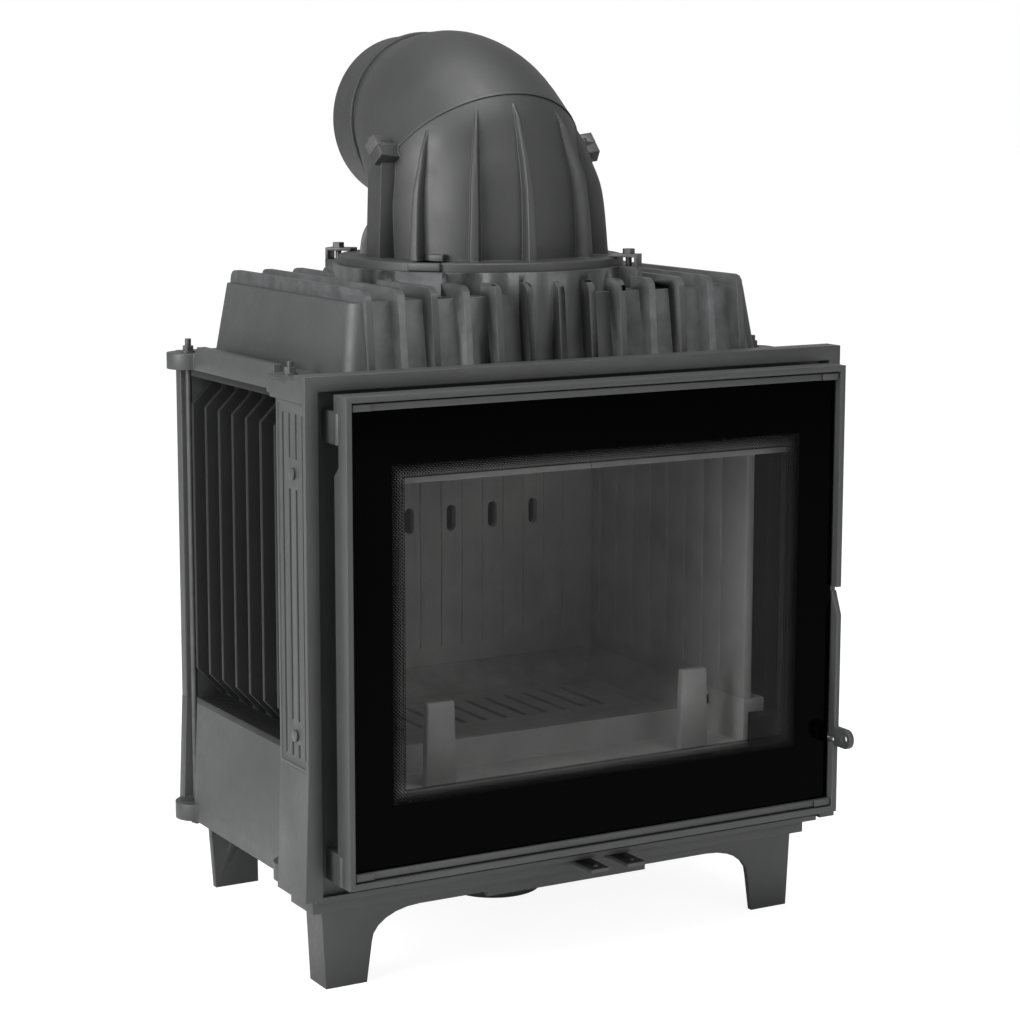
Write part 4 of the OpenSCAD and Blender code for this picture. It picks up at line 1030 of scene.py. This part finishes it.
@dataclass
class Elbow(Assembly):
    """Turning elbow with its bead and spigot, in millimetres and degrees, but its ears in metres."""

    body: str = "flue_elbow"
    bend: Bend = Bend()
    stations: tuple = ((0, 0, 0, 0), (0.33, 0.33, 0.58, 0.13), (0.67, 0.67, 0.9, 0.46), (1, 1, 1, 1))
    rows_per_station: int = 5
    bead_r: float = 114.0
    bead_end: float = 474.0
    bead_round: tuple[float, float] = (1.0, 3.5)
    mouth_round: tuple[float, float] = (1.5, 2.0)
    crease: float = 38.0
    ear_box: tuple[Point, Point] = ((0.129, -0.01, SEAM_PLAY), (0.154, 0.01, 0.00815))

    def profile(self) -> list[tuple[float, float]]:
        """Returns radius and depth of the spigot's rings, from the bead through the mouth into the bore."""
        b = self.bend
        near, far = self.bead_round
        inner, outer = self.mouth_round
        return [(b.spigot_r + near, b.spigot_y), (self.bead_r - near, b.spigot_y + near),
                (self.bead_r, b.spigot_y + far), (self.bead_r, self.bead_end - far),
                (self.bead_r - near, self.bead_end - near), (b.spigot_r, self.bead_end),
                (b.spigot_r, b.spigot_end - outer), (b.spigot_r - inner, b.spigot_end),
                (b.bore_r + inner, b.spigot_end), (b.bore_r, b.spigot_end - inner), (b.bore_r, b.spigot_y)]

    def extra(self) -> None:
        """Lofts the outside from the seam to the spigot and the inside back again."""
        b = self.bend
        seam_y, seam_z = b.axis_y + b.back, b.foot_z + b.rise
        rings = [[b.tilt * (1 + s[0]), seam_y + (b.spigot_y - seam_y) * s[1],
                  seam_z + (b.spigot_z - seam_z) * s[2], b.seam_r + (b.spigot_r - b.seam_r) * s[3]]
                 for s in smooth_path(self.stations, self.rows_per_station)]
        outer = [Bend.ring(*row) for row in rings]
        inner = [Bend.ring(*row[:3], row[3] - b.wall) for row in rings]
        outer[0], inner[0] = b.seam_ring(b.seam_r, SEAM_PLAY), b.seam_ring(b.seam_r - b.wall, SEAM_PLAY)
        tube = [Bend.ring(90.0, y, b.spigot_z, r) for r, y in self.profile()]
        skin = Bench.skin("elbow_skin", outer + tube + inner[::-1], Ends.JOINED)
        elbow = Bench.join("elbow.cast", [skin] + b.ears(*self.ear_box))
        Bench.smooth(elbow, math.radians(self.crease))
        self.shop.coat(elbow, Paint.FLUE)
        self.put(elbow, "elbow")


@dataclass(frozen=True)
class Softbox:
    """A soft studio light."""

    name: str
    place: Point
    aim: Point
    size: float
    watts: float

    def build(self) -> None:
        """Adds the light to the scene."""
        data = bpy.data.lights.new(self.name, "AREA")
        data.shape, data.size, data.energy = "SQUARE", self.size, self.watts
        lamp = bpy.data.objects.new(self.name, data)
        bpy.context.scene.collection.objects.link(lamp)
        lamp.location = self.place
        lamp.rotation_euler = (Vector(self.aim) - Vector(self.place)).to_track_quat("-Z", "Y").to_euler()


@dataclass
class Studio:
    """Camera, lights, world and floor."""

    place: Point = (-1.6318, -2.8831, 1.0819)
    heading: tuple[float, float] = (0.4944, 0.8692)
    pitch: float = 9.36
    roll: float = 0.071
    lens: float = 91.86
    ambient: float = 0.42
    floor_grey: float = 0.92
    floor_glow: float = 1.26
    floor_glow_share: float = 0.72
    floor_size: float = 60.0
    lights: tuple = (
        Softbox("key_left", (-3.6, -0.6, 1.7), (0, 0, 0.55), 2.2, 150.0),
        Softbox("fill_front", (1.6, -4.2, 1.8), (0, 0, 0.5), 2.4, 36.0),
        Softbox("overhead", (-0.3, -0.6, 3.6), (0, 0, 0.8), 2.2, 80.0),
    )

    def camera(self) -> None:
        """Sets the camera at the photograph's place."""
        pitch = math.radians(self.pitch)
        ahead = Vector((*(part * math.cos(pitch) for part in self.heading), -math.sin(pitch)))
        data = bpy.data.cameras.new("camera")
        data.lens, data.sensor_width = self.lens, 36.0
        eye = bpy.data.objects.new("camera", data)
        bpy.context.scene.collection.objects.link(eye)
        turn = ahead.to_track_quat("-Z", "Y") @ Quaternion((0, 0, 1), math.radians(self.roll))
        eye.location = self.place
        eye.rotation_euler = turn.to_euler()
        bpy.context.scene.camera = eye

    def world(self) -> None:
        """Makes the backdrop white for the camera and softer for the light."""
        world = bpy.data.worlds.new("studio")
        world.use_nodes = True
        tree = world.node_tree
        tree.nodes.clear()
        path = tree.nodes.new("ShaderNodeLightPath")
        level = tree.nodes.new("ShaderNodeMapRange")
        level.inputs[3].default_value, level.inputs[4].default_value = self.ambient, 1.0
        tree.links.new(path.outputs["Is Camera Ray"], level.inputs[0])
        glow = tree.nodes.new("ShaderNodeBackground")
        glow.inputs[0].default_value = grey(1.0)
        tree.links.new(level.outputs[0], glow.inputs[1])
        out = tree.nodes.new("ShaderNodeOutputWorld")
        tree.links.new(glow.outputs[0], out.inputs[0])
        bpy.context.scene.world = world

    def floor(self) -> None:
        """Lays a pale floor that keeps the shadow."""
        board = Board("pale_floor")
        path = board.add("ShaderNodeLightPath").outputs["Is Camera Ray"]
        matt = board.add("ShaderNodeBsdfDiffuse", {"Color": grey(self.floor_grey)})
        glow = board.add("ShaderNodeEmission", {"Color": grey(1.0), "Strength": self.floor_glow})
        share = board.math("MULTIPLY", path, self.floor_glow_share)
        mix = board.add("ShaderNodeMixShader", {0: share, 1: matt.outputs[0], 2: glow.outputs[0]})
        board.add("ShaderNodeOutputMaterial", {"Surface": mix.outputs[0]})
        Bench.clear()
        bpy.ops.mesh.primitive_plane_add(size=self.floor_size)
        floor = bpy.context.object
        floor.name = "floor"
        floor.data.materials.append(board.material)

    def build(self) -> None:
        """Sets up the whole studio."""
        self.camera()
        self.world()
        self.floor()
        for light in self.lights:
            light.build()
        bpy.context.scene.view_settings.view_transform = "Standard"
        log.info("studio ready")


def main() -> None:
    """Builds the insert piece by piece and sets the studio."""
    logging.basicConfig(level=logging.INFO, format="%(message)s")
    shop = Shop()
    groups = [Stands(shop), Firebox(shop), Front(shop), Dome(shop), Hood(shop), Elbow(shop), Door(shop),
              Handle(shop), Levers(shop, body="primary_air", node="primary_air_lever"),
              Levers(shop, body="secondary_air", node="secondary_air_lever")]
    for group in groups:
        group.build()
        group.dress()
    Studio().build()


if __name__ == "__main__":
    main()
